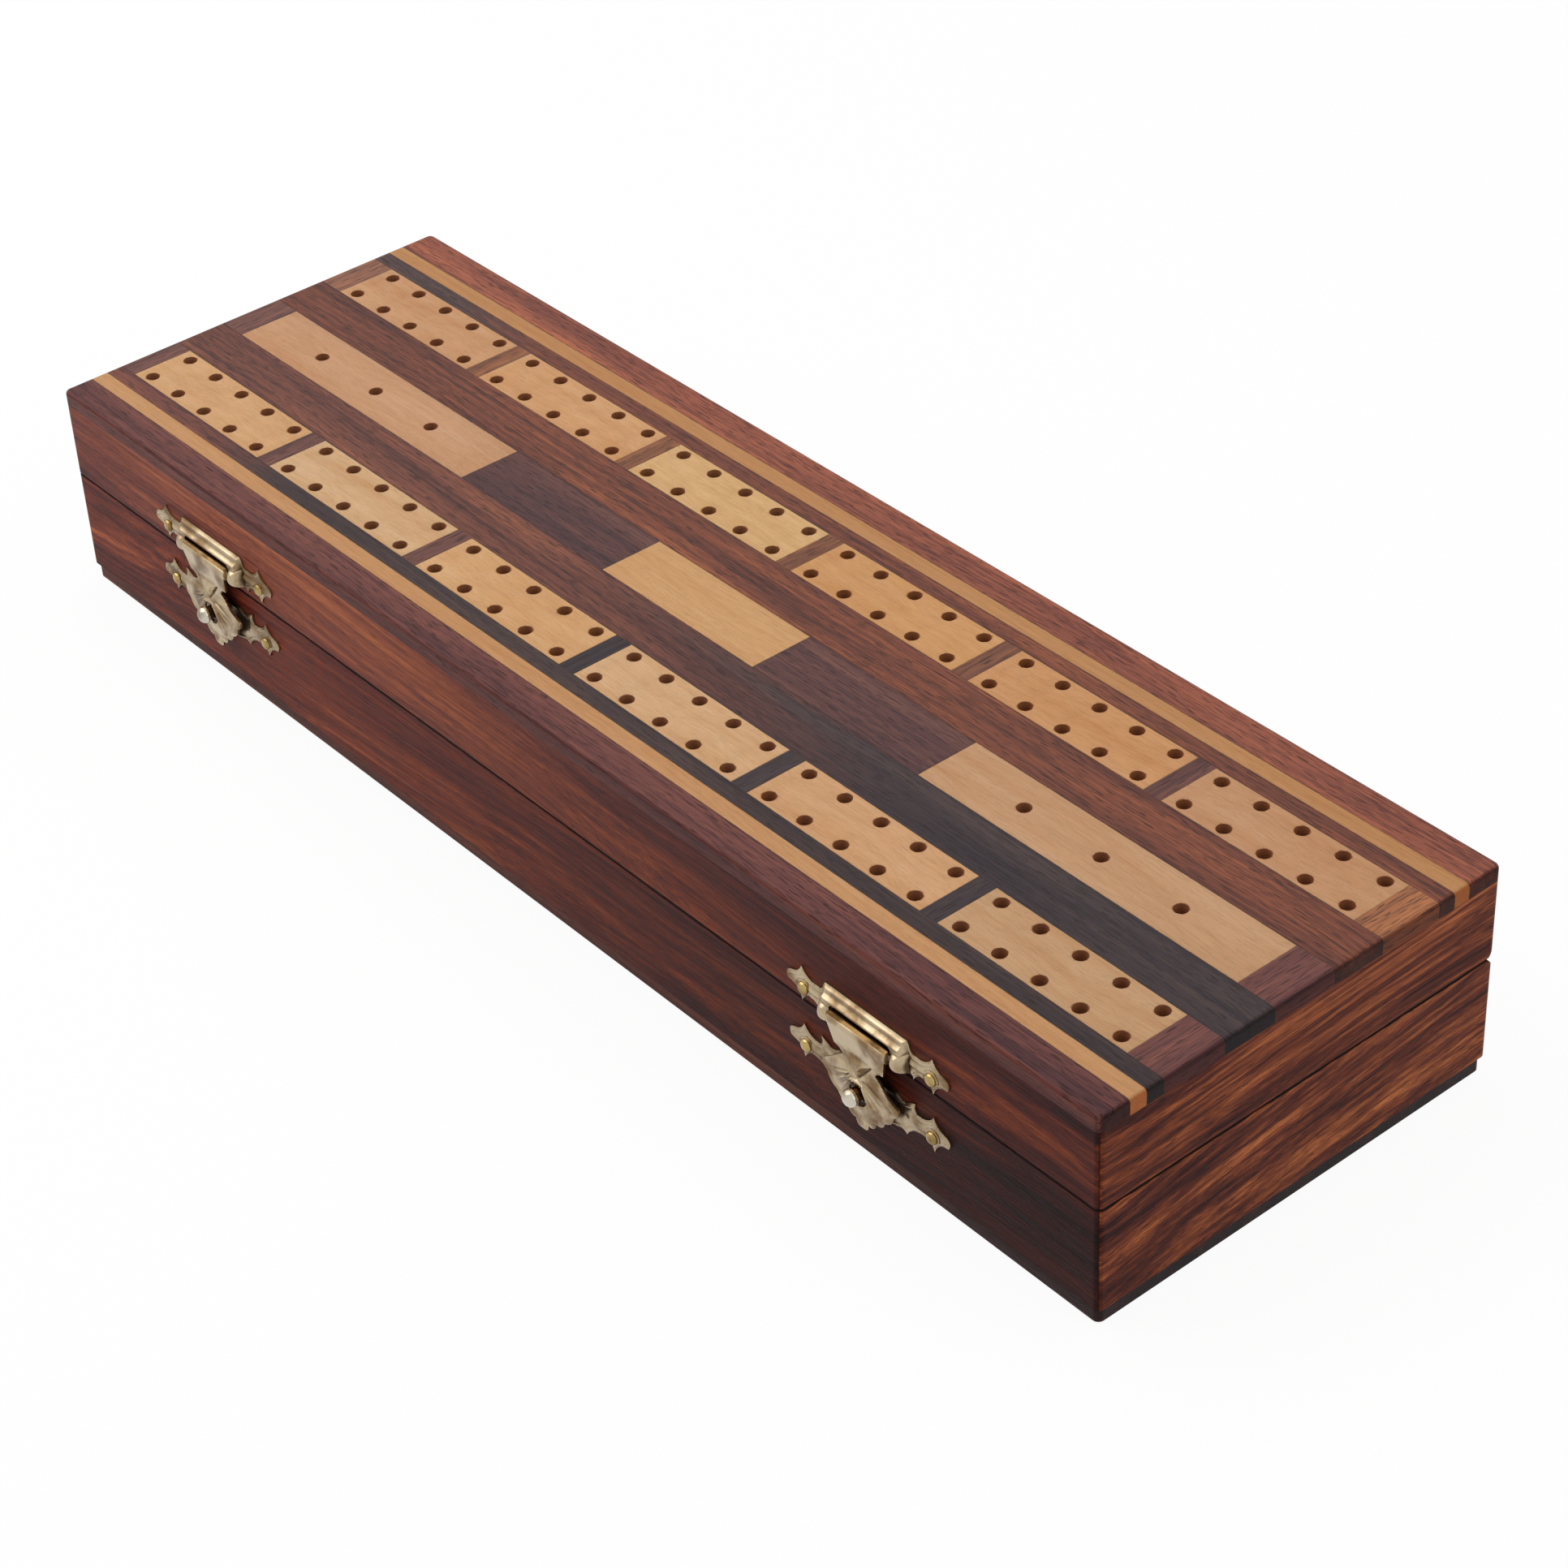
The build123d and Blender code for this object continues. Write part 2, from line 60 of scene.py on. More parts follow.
# ---- Camera and light ----
CAMERA_PLACE = Vector((0.4709, -0.3576, 0.4463))
CAMERA_RIGHT = Vector((0.6455, 0.7625, -0.0436))
CAMERA_UP = Vector((-0.4359, 0.4148, 0.7987))
CAMERA_ANGLE = 23.138     # degrees, across the square picture
SKY_LIGHT = 0.43          # overhead
SIDE_LIGHT = 0.13         # at the height of the table
FLOOR_TONE = 0.90
FLOOR_GLOW = 0.93         # how much of the floor is plain white where the surround shows
FLOOR_SIZE = 8.0
LAMPS = (                 # name, place, what it points at, size, power
    ("key", (-0.55, -0.35, 0.85), (0, 0, 0), (1.2, 1.2), 8.0),
    ("overhead", (0.05, 0.35, 0.9), (0, 0, 0), (1.5, 1.0), 3.6),
    ("fill", (0.9, 0.15, 0.45), (0.1, 0, 0), (0.8, 0.6), 1.6))

# ---- Tones, as they look on a screen ----
BURNT = (134, 74, 44)
RIM_BURN = (124, 68, 38)
# dark glue and mitre lines, and the painted shade in the seam between lid and base
GLUE_AND_SEAM_SHADE = (30, 17, 15)
PORE = (28, 14, 13)
# tarnish and painted shade in the creases of the stamped metal
CREASE_TARNISH_AND_SHADE = (46, 32, 18)
END_GRAIN = (128, 118, 122)      # what an inlaid piece's tone is multiplied by on the ends
LONG_SIDE = (236, 192, 176)      # and on the long sides


# ---- Small helpers ----
def linear(tone):
    """A screen tone, 0 to 255, as the linear colour a shader wants."""
    def channel(value):
        value = max(0.0, min(255.0, value)) / 255
        return value / 12.92 if value <= 0.04045 else ((value + 0.055) / 1.055) ** 2.4
    return (*[channel(value) for value in tone], 1)


def node(tree, kind, inputs=None, **settings):
    """A shader node; inputs gives each socket a value or another node's socket."""
    made = tree.nodes.new("ShaderNode" + kind)
    for key, value in settings.items():
        setattr(made, key, value)
    for key, value in (inputs or {}).items():
        if isinstance(value, bpy.types.NodeSocket):
            tree.links.new(value, made.inputs[key])
        else:
            made.inputs[key].default_value = value
    return made


def calc(tree, operation, a, b=0.0):
    """The result of one sum on two values or sockets."""
    return node(tree, "Math", {0: a, 1: b}, operation=operation).outputs[0]


def times(tree, a, b):
    return calc(tree, "MULTIPLY", a, b)


def minus(tree, a, b):
    return calc(tree, "SUBTRACT", a, b)


def vector_calc(tree, operation, a, b=(0, 0, 0)):
    return node(tree, "VectorMath", {0: a, 1: b}, operation=operation).outputs[0]


def split(tree, vector):
    """The X, Y and Z of a vector."""
    return node(tree, "SeparateXYZ", {0: vector}).outputs


def vector_of(tree, x, y, z):
    return node(tree, "CombineXYZ", {"X": x, "Y": y, "Z": z}).outputs[0]


def between(tree, value, low, high, out_low=0.0, out_high=1.0, curve="SMOOTHSTEP"):
    """value, eased from out_low at low to out_high at high."""
    return node(tree, "MapRange", {"Value": value, "From Min": low, "From Max": high,
                                   "To Min": out_low, "To Max": out_high},
                interpolation_type=curve).outputs[0]


def mix_colour(tree, factor, a, b, blend="MIX"):
    return node(tree, "Mix", {0: factor, 6: a, 7: b}, data_type="RGBA",
                blend_type=blend).outputs[2]


def noise(tree, vector, scale=1.0, detail=2.0, roughness=0.5):
    return node(tree, "TexNoise", {"Vector": vector, "Scale": scale, "Detail": detail,
                                   "Roughness": roughness})


def group(name, inputs, outputs):
    """An empty node group; gives back its tree, its input sockets and its output node."""
    tree = bpy.data.node_groups.new(name, "ShaderNodeTree")
    for label, kind, value in inputs:
        socket = tree.interface.new_socket(label, in_out="INPUT", socket_type="NodeSocket" + kind)
        if value is not None:
            socket.default_value = value
    for label, kind in outputs:
        tree.interface.new_socket(label, in_out="OUTPUT", socket_type="NodeSocket" + kind)
    entry = tree.nodes.new("NodeGroupInput")
    result = tree.nodes.new("NodeGroupOutput")
    return tree, entry.outputs, result


def use_group(tree, which, inputs):
    return node(tree, "Group", inputs, node_tree=which).outputs


# ---- Effects that several materials share ----
def build_wood_figure():
    """Bands, streaks, fibres and pores of a board whose grain runs along its X."""
    tree, given, result = group(
        "wood figure",
        [("Place", "Vector", None), ("Seed", "Float", 0.0), ("Band width", "Float", 9.0),
         ("Streak width", "Float", 2.0), ("Wave", "Float", 4.0), ("Slope", "Float", 0.0),
         ("Pace", "Float", 0.012)],
        [("Bands", "Float"), ("Streaks", "Float"), ("Fibres", "Float"), ("Pores", "Float")])
    place = node(tree, "VectorMath", {0: given["Place"], "Scale": 1 / MM},
                 operation="SCALE").outputs[0]
    drift = times(tree, split(tree, place)["X"], given["Slope"])
    jump = vector_of(tree, times(tree, given["Seed"], 137.0),
                     calc(tree, "ADD", times(tree, given["Seed"], 41.3), drift),
                     calc(tree, "ADD", times(tree, given["Seed"], 23.7), drift))
    here = vector_calc(tree, "ADD", place, jump)
    slow = vector_calc(tree, "MULTIPLY", here, vector_of(tree, given["Pace"], 0.04, 0.04))
    bend = vector_calc(tree, "SUBTRACT", noise(tree, slow, detail=1.0).outputs["Color"],
                       (0.5, 0.5, 0.5))
    sway = vector_of(tree, 0.0, given["Wave"], given["Wave"])
    bent = vector_calc(tree, "ADD", here, vector_calc(tree, "MULTIPLY", bend, sway))
    for label, width, share, detail in (("Bands", "Band width", 0.45, 3.0),
                                        ("Streaks", "Streak width", 1.1, 4.0)):
        across = calc(tree, "DIVIDE", 1.0, given[width])
        pitch = vector_of(tree, times(tree, given["Pace"], share), across, across)
        field = noise(tree, vector_calc(tree, "MULTIPLY", bent, pitch), detail=detail,
                      roughness=0.6)
        spread = between(tree, field.outputs["Fac"], 0.27, 0.73, curve="LINEAR")
        tree.links.new(spread, result.inputs[label])
    fibres = noise(tree, vector_calc(tree, "MULTIPLY", bent, (0.09, 3.6, 3.6)))
    tree.links.new(between(tree, fibres.outputs["Fac"], 0.25, 0.75, curve="LINEAR"),
                   result.inputs["Fibres"])
    dots = noise(tree, vector_calc(tree, "MULTIPLY", bent, (0.28, 4.6, 4.6)), detail=0.0)
    tree.links.new(between(tree, dots.outputs["Fac"], 0.60, 0.70), result.inputs["Pores"])
    return tree


def build_piece_edges():
    """How near a point lies to the ends and sides of its piece, seen from above."""
    tree, given, result = group(
        "piece edges",
        [("Place", "Vector", None), ("Low", "Vector", None), ("High", "Vector", None),
         ("Reach", "Float", 0.22)],
        [("Near edge", "Float")])
    past_low = split(tree, vector_calc(tree, "SUBTRACT", given["Place"], given["Low"]))
    to_high = split(tree, vector_calc(tree, "SUBTRACT", given["High"], given["Place"]))
    nearest = calc(tree, "MINIMUM", past_low["X"], to_high["X"])
    nearest = calc(tree, "MINIMUM", nearest, past_low["Y"])
    nearest = calc(tree, "MINIMUM", nearest, to_high["Y"])
    ragged = noise(tree, given["Place"], scale=900.0).outputs["Fac"]
    reach = times(tree, given["Reach"], times(tree, ragged, 2 * MM))
    tree.links.new(between(tree, nearest, 0.0, reach, 1.0, 0.0), result.inputs["Near edge"])
    return tree


CASE_INPUTS = [("Place", "Vector", None), ("Middle", "Vector", tuple(CASE_MIDDLE)),
               ("Half length", "Float", CASE_HALF.x), ("Half width", "Float", CASE_HALF.y)]


def inside_case(tree, given):
    """How far a point lies in from the case's nearer end and from its nearer long side."""
    off = split(tree, vector_calc(tree, "ABSOLUTE", vector_calc(
        tree, "SUBTRACT", given["Place"], given["Middle"])))
    return (minus(tree, given["Half length"], off["X"]),
            minus(tree, given["Half width"], off["Y"]))


def build_seam_shade_and_mitres():
    """The painted shade in the seam between lid and base, and the dark mitre lines at the four
    corners.
    """
    tree, given, result = group(
        "seam shade and mitres", [*CASE_INPUTS, ("Seam height", "Float", SEAM_Z)], [("Seam shade and mitre", "Float")])
    height = split(tree, given["Place"])["Z"]
    above = calc(tree, "ABSOLUTE", minus(tree, height, given["Seam height"]))
    ragged = noise(tree, given["Place"], scale=260.0, detail=3.0).outputs["Fac"]
    width = between(tree, ragged, 0.3, 0.7, 0.26 * MM, 0.5 * MM)
    end, side = inside_case(tree, given)
    # painted shade along the seam between lid and base, on the case's outer faces
    at_seam = between(tree, above, times(tree, width, 0.55), width, 1.0, 0.0)
    outside = between(tree, calc(tree, "MINIMUM", end, side), 0.5 * MM, 0.9 * MM, 1.0, 0.0)
    seam = times(tree, at_seam, outside)
    uneven = calc(tree, "ABSOLUTE", minus(tree, end, side))
    mitre = between(tree, uneven, 0.05 * MM, 0.2 * MM, 0.85, 0.0)
    tree.links.new(calc(tree, "MAXIMUM", seam, mitre), result.inputs["Seam shade and mitre"])
    return tree


def build_outer_sides():
    """The upright outer faces of the top, where its end grain drinks more of the varnish."""
    tree, given, result = group("outer sides", CASE_INPUTS, [("End", "Float"), ("Side", "Float")])
    for label, inward in zip(("End", "Side"), inside_case(tree, given)):
        tree.links.new(between(tree, inward, 0.1 * MM, 0.6 * MM, 1.0, 0.0), result.inputs[label])
    return tree


def build_peg_rims():
    """The burnt walls and rims of an even grid of drilled holes."""
    tree, given, result = group(
        "peg rims",
        [("Place", "Vector", None), ("First hole", "Vector", None), ("Pitch", "Vector", None),
         ("Last column", "Float", 4.0), ("Last row", "Float", 1.0),
         ("Radius", "Float", PEG_R / MM), ("Rim", "Float", 0.2),
         ("Bottom", "Float", PEG_FLOOR_Z)],
        [("Wall", "Float"), ("Rim", "Float")])
    offset = split(tree, vector_calc(tree, "SUBTRACT", given["Place"], given["First hole"]))
    pitch = split(tree, given["Pitch"])
    squares = []
    for axis, last in (("X", "Last column"), ("Y", "Last row")):
        number = calc(tree, "ROUND", calc(tree, "DIVIDE", offset[axis], pitch[axis]))
        number = calc(tree, "MINIMUM", calc(tree, "MAXIMUM", number, 0.0), given[last])
        local = minus(tree, offset[axis], times(tree, number, pitch[axis]))
        squares.append(times(tree, local, local))
    away = calc(tree, "SQRT", calc(tree, "ADD", *squares))
    past_wall = minus(tree, calc(tree, "DIVIDE", away, MM), given["Radius"])
    ragged = noise(tree, given["Place"], scale=1300.0, detail=3.0, roughness=0.6)
    spread = times(tree, given["Rim"],
                   between(tree, ragged.outputs["Fac"], 0.35, 0.68, 0.1, 2.2))
    drilled = calc(tree, "GREATER_THAN", split(tree, given["Place"])["Z"],
                   minus(tree, given["Bottom"], 0.3 * MM))
    for label, near in (("Rim", between(tree, past_wall, 0.0, spread, 1.0, 0.0)),
                        ("Wall", between(tree, past_wall, -0.05, 0.02, 1.0, 0.0))):
        tree.links.new(times(tree, near, drilled), result.inputs[label])
    return tree


WOOD_FIGURE = build_wood_figure()
PIECE_EDGES = build_piece_edges()
SEAM_SHADE_AND_MITRES = build_seam_shade_and_mitres()
OUTER_SIDES = build_outer_sides()
PEG_RIMS = build_peg_rims()


# ---- Materials ----
def new_material(name):
    """A material with its Principled shader and an Object coordinate to read."""
    made = bpy.data.materials.new(name)
    made.use_nodes = True
    tree = made.node_tree
    return made, tree, tree.nodes["Principled BSDF"], node(tree, "TexCoord").outputs["Object"]


def finish_surface(tree, shader, colour, sheen, height, relief):
    """Links a surface's colour, roughness and fine relief, which is given in metres."""
    bump = node(tree, "Bump", {"Height": height, "Strength": 1.0, "Distance": relief})
    for label, socket in (("Base Color", colour), ("Roughness", sheen),
                          ("Normal", bump.outputs["Normal"])):
        tree.links.new(socket, shader.inputs[label])


def tone_ramp(tree, factor, tones):
    """A colour ramp through (place, screen tone) pairs."""
    ramp = node(tree, "ValToRGB", {"Fac": factor})
    stops = ramp.color_ramp.elements
    while len(stops) < len(tones):
        stops.new(0.5)
    for stop, (where, tone) in zip(stops, tones):
        stop.position = where
        stop.color = linear(tone)
    return ramp.outputs["Color"]


def tones_about(middle, spread):
    """Four ramp stops around one tone: cooler and darker, then warmer and lighter, by spread."""
    stops = []
    for where, lift in ((0.12, -1.0), (0.40, -0.25), (0.62, 0.25), (0.90, 0.85)):
        warmth = (1.0, 1.2, 0.7) if lift > 0 else (1.1, 1.0, 0.7)
        stops.append((where, tuple(channel * (1 + spread * lift * share)
                                   for channel, share in zip(middle, warmth))))
    return stops


def maple_tones(middle):
    """Ramp stops of a pale wood, whose darker clouds are warmer than the rest."""
    shares = ((0.10, (0.94, 0.85, 0.74)), (0.36, (0.98, 0.95, 0.91)),
              (0.62, (1.02, 1.02, 1.02)), (0.92, (1.05, 1.09, 1.15)))
    return [(where, tuple(channel * share for channel, share in zip(middle, tint)))
            for where, tint in shares]


def inner_edges(piece):
    """A piece's box, pushed far out where the piece reaches the outside of the case."""
    low, high = (Vector(corner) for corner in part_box(piece))
    for axis in (0, 1):
        if low[axis] - CASE_LOW[axis] < MM:
            low[axis] -= 1
        if CASE_HIGH[axis] - high[axis] < MM:
            high[axis] += 1
    return low, high


GLUE_LINE = 0.55          # how dark a joint line is, 0 to 1
SEAM_DEPTH = 3.0          # how deep the case's joints lie, in wood reliefs
RIM_SHARE = 0.75          # how much of a hole's rim is burnt
TURN_WANDER = 0.6         # how far the bands carry a change of tone along the wood
END_SHARE, SIDE_SHARE = 0.9, 0.6
END_DULLNESS = 0.25       # how much rougher end grain is
WOOD_SHEEN = (0.34, 0.46)     # roughness, from the valleys of the fibres to their ridges
WOOD_RELIEF = 0.04 * MM


def wood(name, tones, seed, grain_y=False, band=9.0, streak=2.0, wave=4.0, slope=0.0,
         mix=(0.5, 0.35, 0.15), pores=0.4, gloss=0.12, piece=None, holes=None, turns_to=None,
         case=False, end_tone=None, pace=0.012):
    """A varnished wood.

    band, streak and wave are millimetres across the grain, slope is the grain's slant and
    pace its change along the grain;
    mix weighs bands, streaks and fibres; piece names the node whose joints show as lines;
    holes gives the first hole, the pitches and the last column and row of drilled holes;
    turns_to gives other tones, the two places between which the wood changes to them, and
    the axis of those places;
    case says that the mitre lines and the painted shade of the lid-base seam cross it;
    end_tone colours the case's end faces.
    """
    made, tree, shader, place = new_material(name)
    along = place
    if grain_y:
        along = node(tree, "VectorRotate", {"Vector": place, "Angle": math.radians(90)},
                     rotation_type="Z_AXIS").outputs[0]
    figure = use_group(tree, WOOD_FIGURE, {"Place": along, "Seed": seed, "Band width": band,
                                           "Streak width": streak, "Wave": wave, "Slope": slope,
                                           "Pace": pace})
    parts = [times(tree, figure[label], weight)
             for label, weight in zip(("Bands", "Streaks", "Fibres"), mix)]
    depth = calc(tree, "ADD", calc(tree, "ADD", parts[0], parts[1]), parts[2])
    colour = tone_ramp(tree, depth, tones)
    if turns_to:
        other, start, end, axis = turns_to
        wander = times(tree, minus(tree, figure["Bands"], 0.5), TURN_WANDER * (end - start))
        changed = between(tree, calc(tree, "ADD", split(tree, place)[axis], wander), start, end)
        colour = mix_colour(tree, changed, colour, tone_ramp(tree, depth, other))
    colour = mix_colour(tree, times(tree, figure["Pores"], pores), colour, linear(PORE))
    height = minus(tree, figure["Fibres"], figure["Pores"])
    if piece:
        low, high = inner_edges(piece)
        joint_and_seam_shade = use_group(tree, PIECE_EDGES, {"Place": place, "Low": low, "High": high})
        colour = mix_colour(tree, times(tree, joint_and_seam_shade["Near edge"], GLUE_LINE), colour,
                            linear(GLUE_AND_SEAM_SHADE))
    # the dark mitre lines, and painted shade in the seam between lid and base
    if case:
        joint_and_seam_shade = use_group(tree, SEAM_SHADE_AND_MITRES, {"Place": place})["Seam shade and mitre"]
        colour = mix_colour(tree, joint_and_seam_shade, colour, linear(GLUE_AND_SEAM_SHADE))
        height = minus(tree, height, times(tree, joint_and_seam_shade, SEAM_DEPTH))
    if holes:
        first, pitch, last_column, last_row = holes
        burnt = use_group(tree, PEG_RIMS, {"Place": place, "First hole": first, "Pitch": pitch,
                                           "Last column": last_column, "Last row": last_row})
        colour = mix_colour(tree, times(tree, burnt["Rim"], RIM_SHARE), colour,
                            linear(RIM_BURN))
        colour = mix_colour(tree, burnt["Wall"], colour, linear(BURNT))
        height = minus(tree, height, burnt["Rim"])
    sheen = between(tree, figure["Fibres"], 0.1, 0.9, *WOOD_SHEEN)
    if piece or end_tone:
        outer = use_group(tree, OUTER_SIDES, {"Place": place})
        for label, share, shade in (("End", END_SHARE, end_tone or END_GRAIN),
                                    ("Side", SIDE_SHARE, LONG_SIDE)):
            colour = mix_colour(tree, times(tree, outer[label], share), colour, linear(shade),
                                "MULTIPLY")
        sheen = calc(tree, "ADD", sheen, times(tree, outer["End"], END_DULLNESS))
    shader.inputs["Specular IOR Level"].default_value = gloss
    finish_surface(tree, shader, colour, sheen, height, WOOD_RELIEF)
    return made


TARNISH = (0.40, 0.64)        # where in the patches the plating starts and ends to be dull
SPECK_SHARE = 0.07
CREASE_TARNISH_AND_SHADE_SHARE = 0.85
TARNISH_DULLNESS = 0.12       # how much rougher tarnish is
METAL_RELIEF = 0.0018 * MM


def plated(name, bright, dull, seed, rough=(0.2, 0.3)):
    """A plated, lightly worn sheet metal: bright, duller in patches, and dark in its creases with
    tarnish and painted shade.
    """
    made, tree, shader, place = new_material(name)
    start = vector_calc(tree, "ADD", place, (seed, seed * 0.7, 0))
    patches = noise(tree, start, scale=190.0, detail=3.0).outputs["Fac"]
    specks = noise(tree, start, scale=2400.0).outputs["Fac"]
    worn = between(tree, calc(tree, "ADD", times(tree, patches, 1 - SPECK_SHARE),
                              times(tree, specks, SPECK_SHARE)), *TARNISH)
    crease_tarnish_and_shade = node(tree, "Attribute", attribute_name="crease_tarnish_and_shade").outputs["Fac"]
    colour = mix_colour(tree, worn, linear(bright), linear(dull))
    # tarnish and painted shade darken the creases
    colour = mix_colour(tree, times(tree, crease_tarnish_and_shade, CREASE_TARNISH_AND_SHADE_SHARE), colour, linear(CREASE_TARNISH_AND_SHADE))
    sheen = calc(tree, "ADD", between(tree, patches, 0.3, 0.7, *rough),
                 times(tree, worn, TARNISH_DULLNESS))
    shader.inputs["Metallic"].default_value = 1.0
    uneven = calc(tree, "ADD", times(tree, patches, 3.0), specks)
    finish_surface(tree, shader, colour, sheen, uneven, METAL_RELIEF)
    return made


def dress(node_name, material):
    """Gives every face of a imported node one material."""
    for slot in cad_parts[node_name].material_slots:
        slot.material = material


def finish_with(piece, material):
    """Gives a new piece its material, in place of any it has."""
    piece.data.materials.clear()
    piece.data.materials.append(material)


# ---- Boards ----
# the base boards' tones are darker copies of the lid boards' tones: painted shade towards the
# bottom
SHADED_ROSEWOOD = [(0.08, (22, 6, 7)), (0.28, (54, 18, 16)), (0.46, (88, 34, 27)),
            (0.62, (124, 54, 35)), (0.80, (176, 94, 54)), (0.95, (208, 130, 78))]
SHADED_ROSEWOOD_DARK = [(0.08, (8, 2, 2)), (0.32, (30, 8, 7)), (0.52, (60, 20, 15)),
                 (0.70, (102, 42, 23)), (0.90, (156, 78, 40))]
LID_ROSEWOOD = [(0.08, (40, 18, 20)), (0.28, (80, 38, 37)), (0.46, (116, 58, 48)),
                (0.62, (150, 80, 56)), (0.80, (192, 112, 72)), (0.95, (214, 136, 86))]
LID_ROSEWOOD_DARK = [(0.08, (16, 5, 7)), (0.32, (46, 16, 15)), (0.52, (82, 33, 26)),
                     (0.70, (124, 57, 32)), (0.90, (176, 94, 50))]
END_BOARD = [(0.08, (24, 10, 10)), (0.26, (58, 24, 20)), (0.44, (102, 48, 33)),
             (0.60, (148, 80, 48)), (0.78, (196, 116, 68)), (0.95, (222, 146, 88))]
END_BOARD_DARK = [(0.08, (20, 8, 10)), (0.28, (50, 20, 19)), (0.46, (88, 40, 29)),
                  (0.62, (134, 68, 40)), (0.80, (188, 108, 58)), (0.95, (208, 128, 72))]
PANEL = [(0.10, (16, 10, 12)), (0.40, (32, 21, 23)), (0.65, (50, 33, 32)), (0.90, (78, 50, 42))]
PANEL_FRONT = [(0.10, (44, 18, 15)), (0.40, (80, 38, 31)), (0.65, (112, 60, 44)),
               (0.90, (146, 86, 54))]

BORDER = tones_about((101, 60, 57), 0.46)
BACK_BORDER = tones_about((137, 78, 63), 0.46)
EBONY = tones_about((60, 45, 45), 0.40)
WALNUT = tones_about((101, 57, 50), 0.52)
BACK_WALNUT = tones_about((107, 59, 46), 0.58)
FILLER = tones_about((88, 56, 54), 0.40)

# the base boards take the darker tones as painted shade towards the bottom; all four boards turn
# darker towards the right end
for name, tones, turned_tones, seed, slope in (
        ("base_front_board", SHADED_ROSEWOOD, SHADED_ROSEWOOD_DARK, 1.0, -0.035),
        ("lid_front_board", LID_ROSEWOOD, LID_ROSEWOOD_DARK, 2.0, 0.02),
        ("base_back_board", SHADED_ROSEWOOD, SHADED_ROSEWOOD_DARK, 3.0, 0.03),
        ("lid_back_board", LID_ROSEWOOD, LID_ROSEWOOD_DARK, 4.0, -0.02)):
    dress(name, wood(name, tones, seed, wave=12.0, slope=slope, band=13.0, streak=1.3, gloss=0.05,
                     turns_to=(turned_tones, -0.09, 0.12, "X"), case=True, pace=0.010,
                     mix=(0.56, 0.28, 0.16), pores=0.35))
for name, seed, slope in (("base_right_board", 5.0, 0.10), ("lid_right_board", 6.0, 0.03),
                          ("base_left_board", 7.0, -0.05), ("lid_left_board", 8.0, 0.04)):
    dress(name, wood(name, END_BOARD_DARK, seed, grain_y=True, band=5.0, streak=1.1, wave=6.0,
                     slope=slope, gloss=0.035, pace=0.010, case=True,
                     mix=(0.40, 0.44, 0.16), pores=0.5,
                     turns_to=(END_BOARD, -0.045, -0.005, "Y")))
dress("bottom_panel", wood("bottom panel", PANEL_FRONT, 9.0, gloss=0.06,
                           turns_to=(PANEL, 0.06, 0.14, "X")))
for divider in ("left_divider", "right_divider"):
    dress(divider, wood(divider, SHADED_ROSEWOOD, 10.0, grain_y=True, gloss=0.1))

# ---- Inlaid top: the strips that run the whole length ----
STRIPS = {
    "front_border_strip": (BORDER, None),
    "front_maple_line": (maple_tones((184, 136, 92)), None),
    "front_ebony_line": (WALNUT, (EBONY, -0.120, -0.085, "X")),
    "front_wide_strip": (tones_about((105, 61, 51), 0.54),
                         (tones_about((60, 47, 49), 0.44), -0.03, 0.07, "X")),
    "back_wide_strip": (BACK_WALNUT, None),
    "back_dark_line": (tones_about((76, 56, 54), 0.4), (BACK_WALNUT, -0.13, -0.09, "X")),
    "back_maple_line": (maple_tones((176, 127, 82)), None),
    "back_border_strip": (BACK_BORDER, None),
}
DARK_LOOK = {"mix": (0.36, 0.36, 0.28), "pores": 0.6}
PALE_LOOK = {"mix": (0.3, 0.3, 0.4), "pores": 0.0}
PALE_ENDS = (226, 176, 140)
CAP_ENDS = (168, 142, 140)
for seed, (name, (tones, turns_to)) in enumerate(STRIPS.items(), start=11):
    pale = "maple" in name
    dress(name, wood(name, tones, float(seed), piece=name, turns_to=turns_to,
                     band=5.0, streak=1.1, slope=0.012, gloss=0.08 if "border" in name else 0.12,
                     end_tone=PALE_ENDS if pale else None, **(PALE_LOOK if pale else DARK_LOOK)))
for name, tone, turns_to in (
        ("front_track_spacers", (98, 62, 58),
         (tones_about((60, 48, 50), 0.4), -0.03, -0.01, "X")),
        ("back_track_spacers", (122, 76, 55),
         (tones_about((92, 58, 54), 0.4), 0.03, 0.08, "X")),
        ("left_end_caps", (106, 68, 62),
         (tones_about((134, 88, 70), 0.4), 0.008, 0.020, "Y")),
        ("right_end_caps", (104, 62, 58),
         (tones_about((156, 98, 66), 0.34), 0.008, 0.020, "Y"))):
    dress(name, wood(name, tones_about(tone, 0.4), 19.0 + len(name), grain_y=True,
                     band=5.0, streak=1.2, mix=(0.4, 0.35, 0.25), pores=0.6, turns_to=turns_to,
                     end_tone=CAP_ENDS))
for side in ("left", "right"):
    name = f"centre_{side}_filler"
    dress(name, wood(name, FILLER, 21.0 + len(side), piece=name, band=6.0, streak=1.2,
                     **DARK_LOOK))
name = "centre_plain_block"
dress(name, wood(name, maple_tones((192, 147, 101)), 23.0, piece=name, **PALE_LOOK))

# ---- Inlaid top: the drilled maple blocks ----
PEG_PITCH = 9.5 * MM
ROW_GAP = 9.2 * MM
GAME_PITCH = 19.0 * MM
ROUND_HOLE_SIDES = 32
BLOCK_BEVEL = 0.07 * MM


def only(*pieces):
    """Selects these pieces alone, the last one active."""
    bpy.ops.object.select_all(action="DESELECT")
    for piece in pieces:
        piece.select_set(True)
    bpy.context.view_layer.objects.active = pieces[-1]


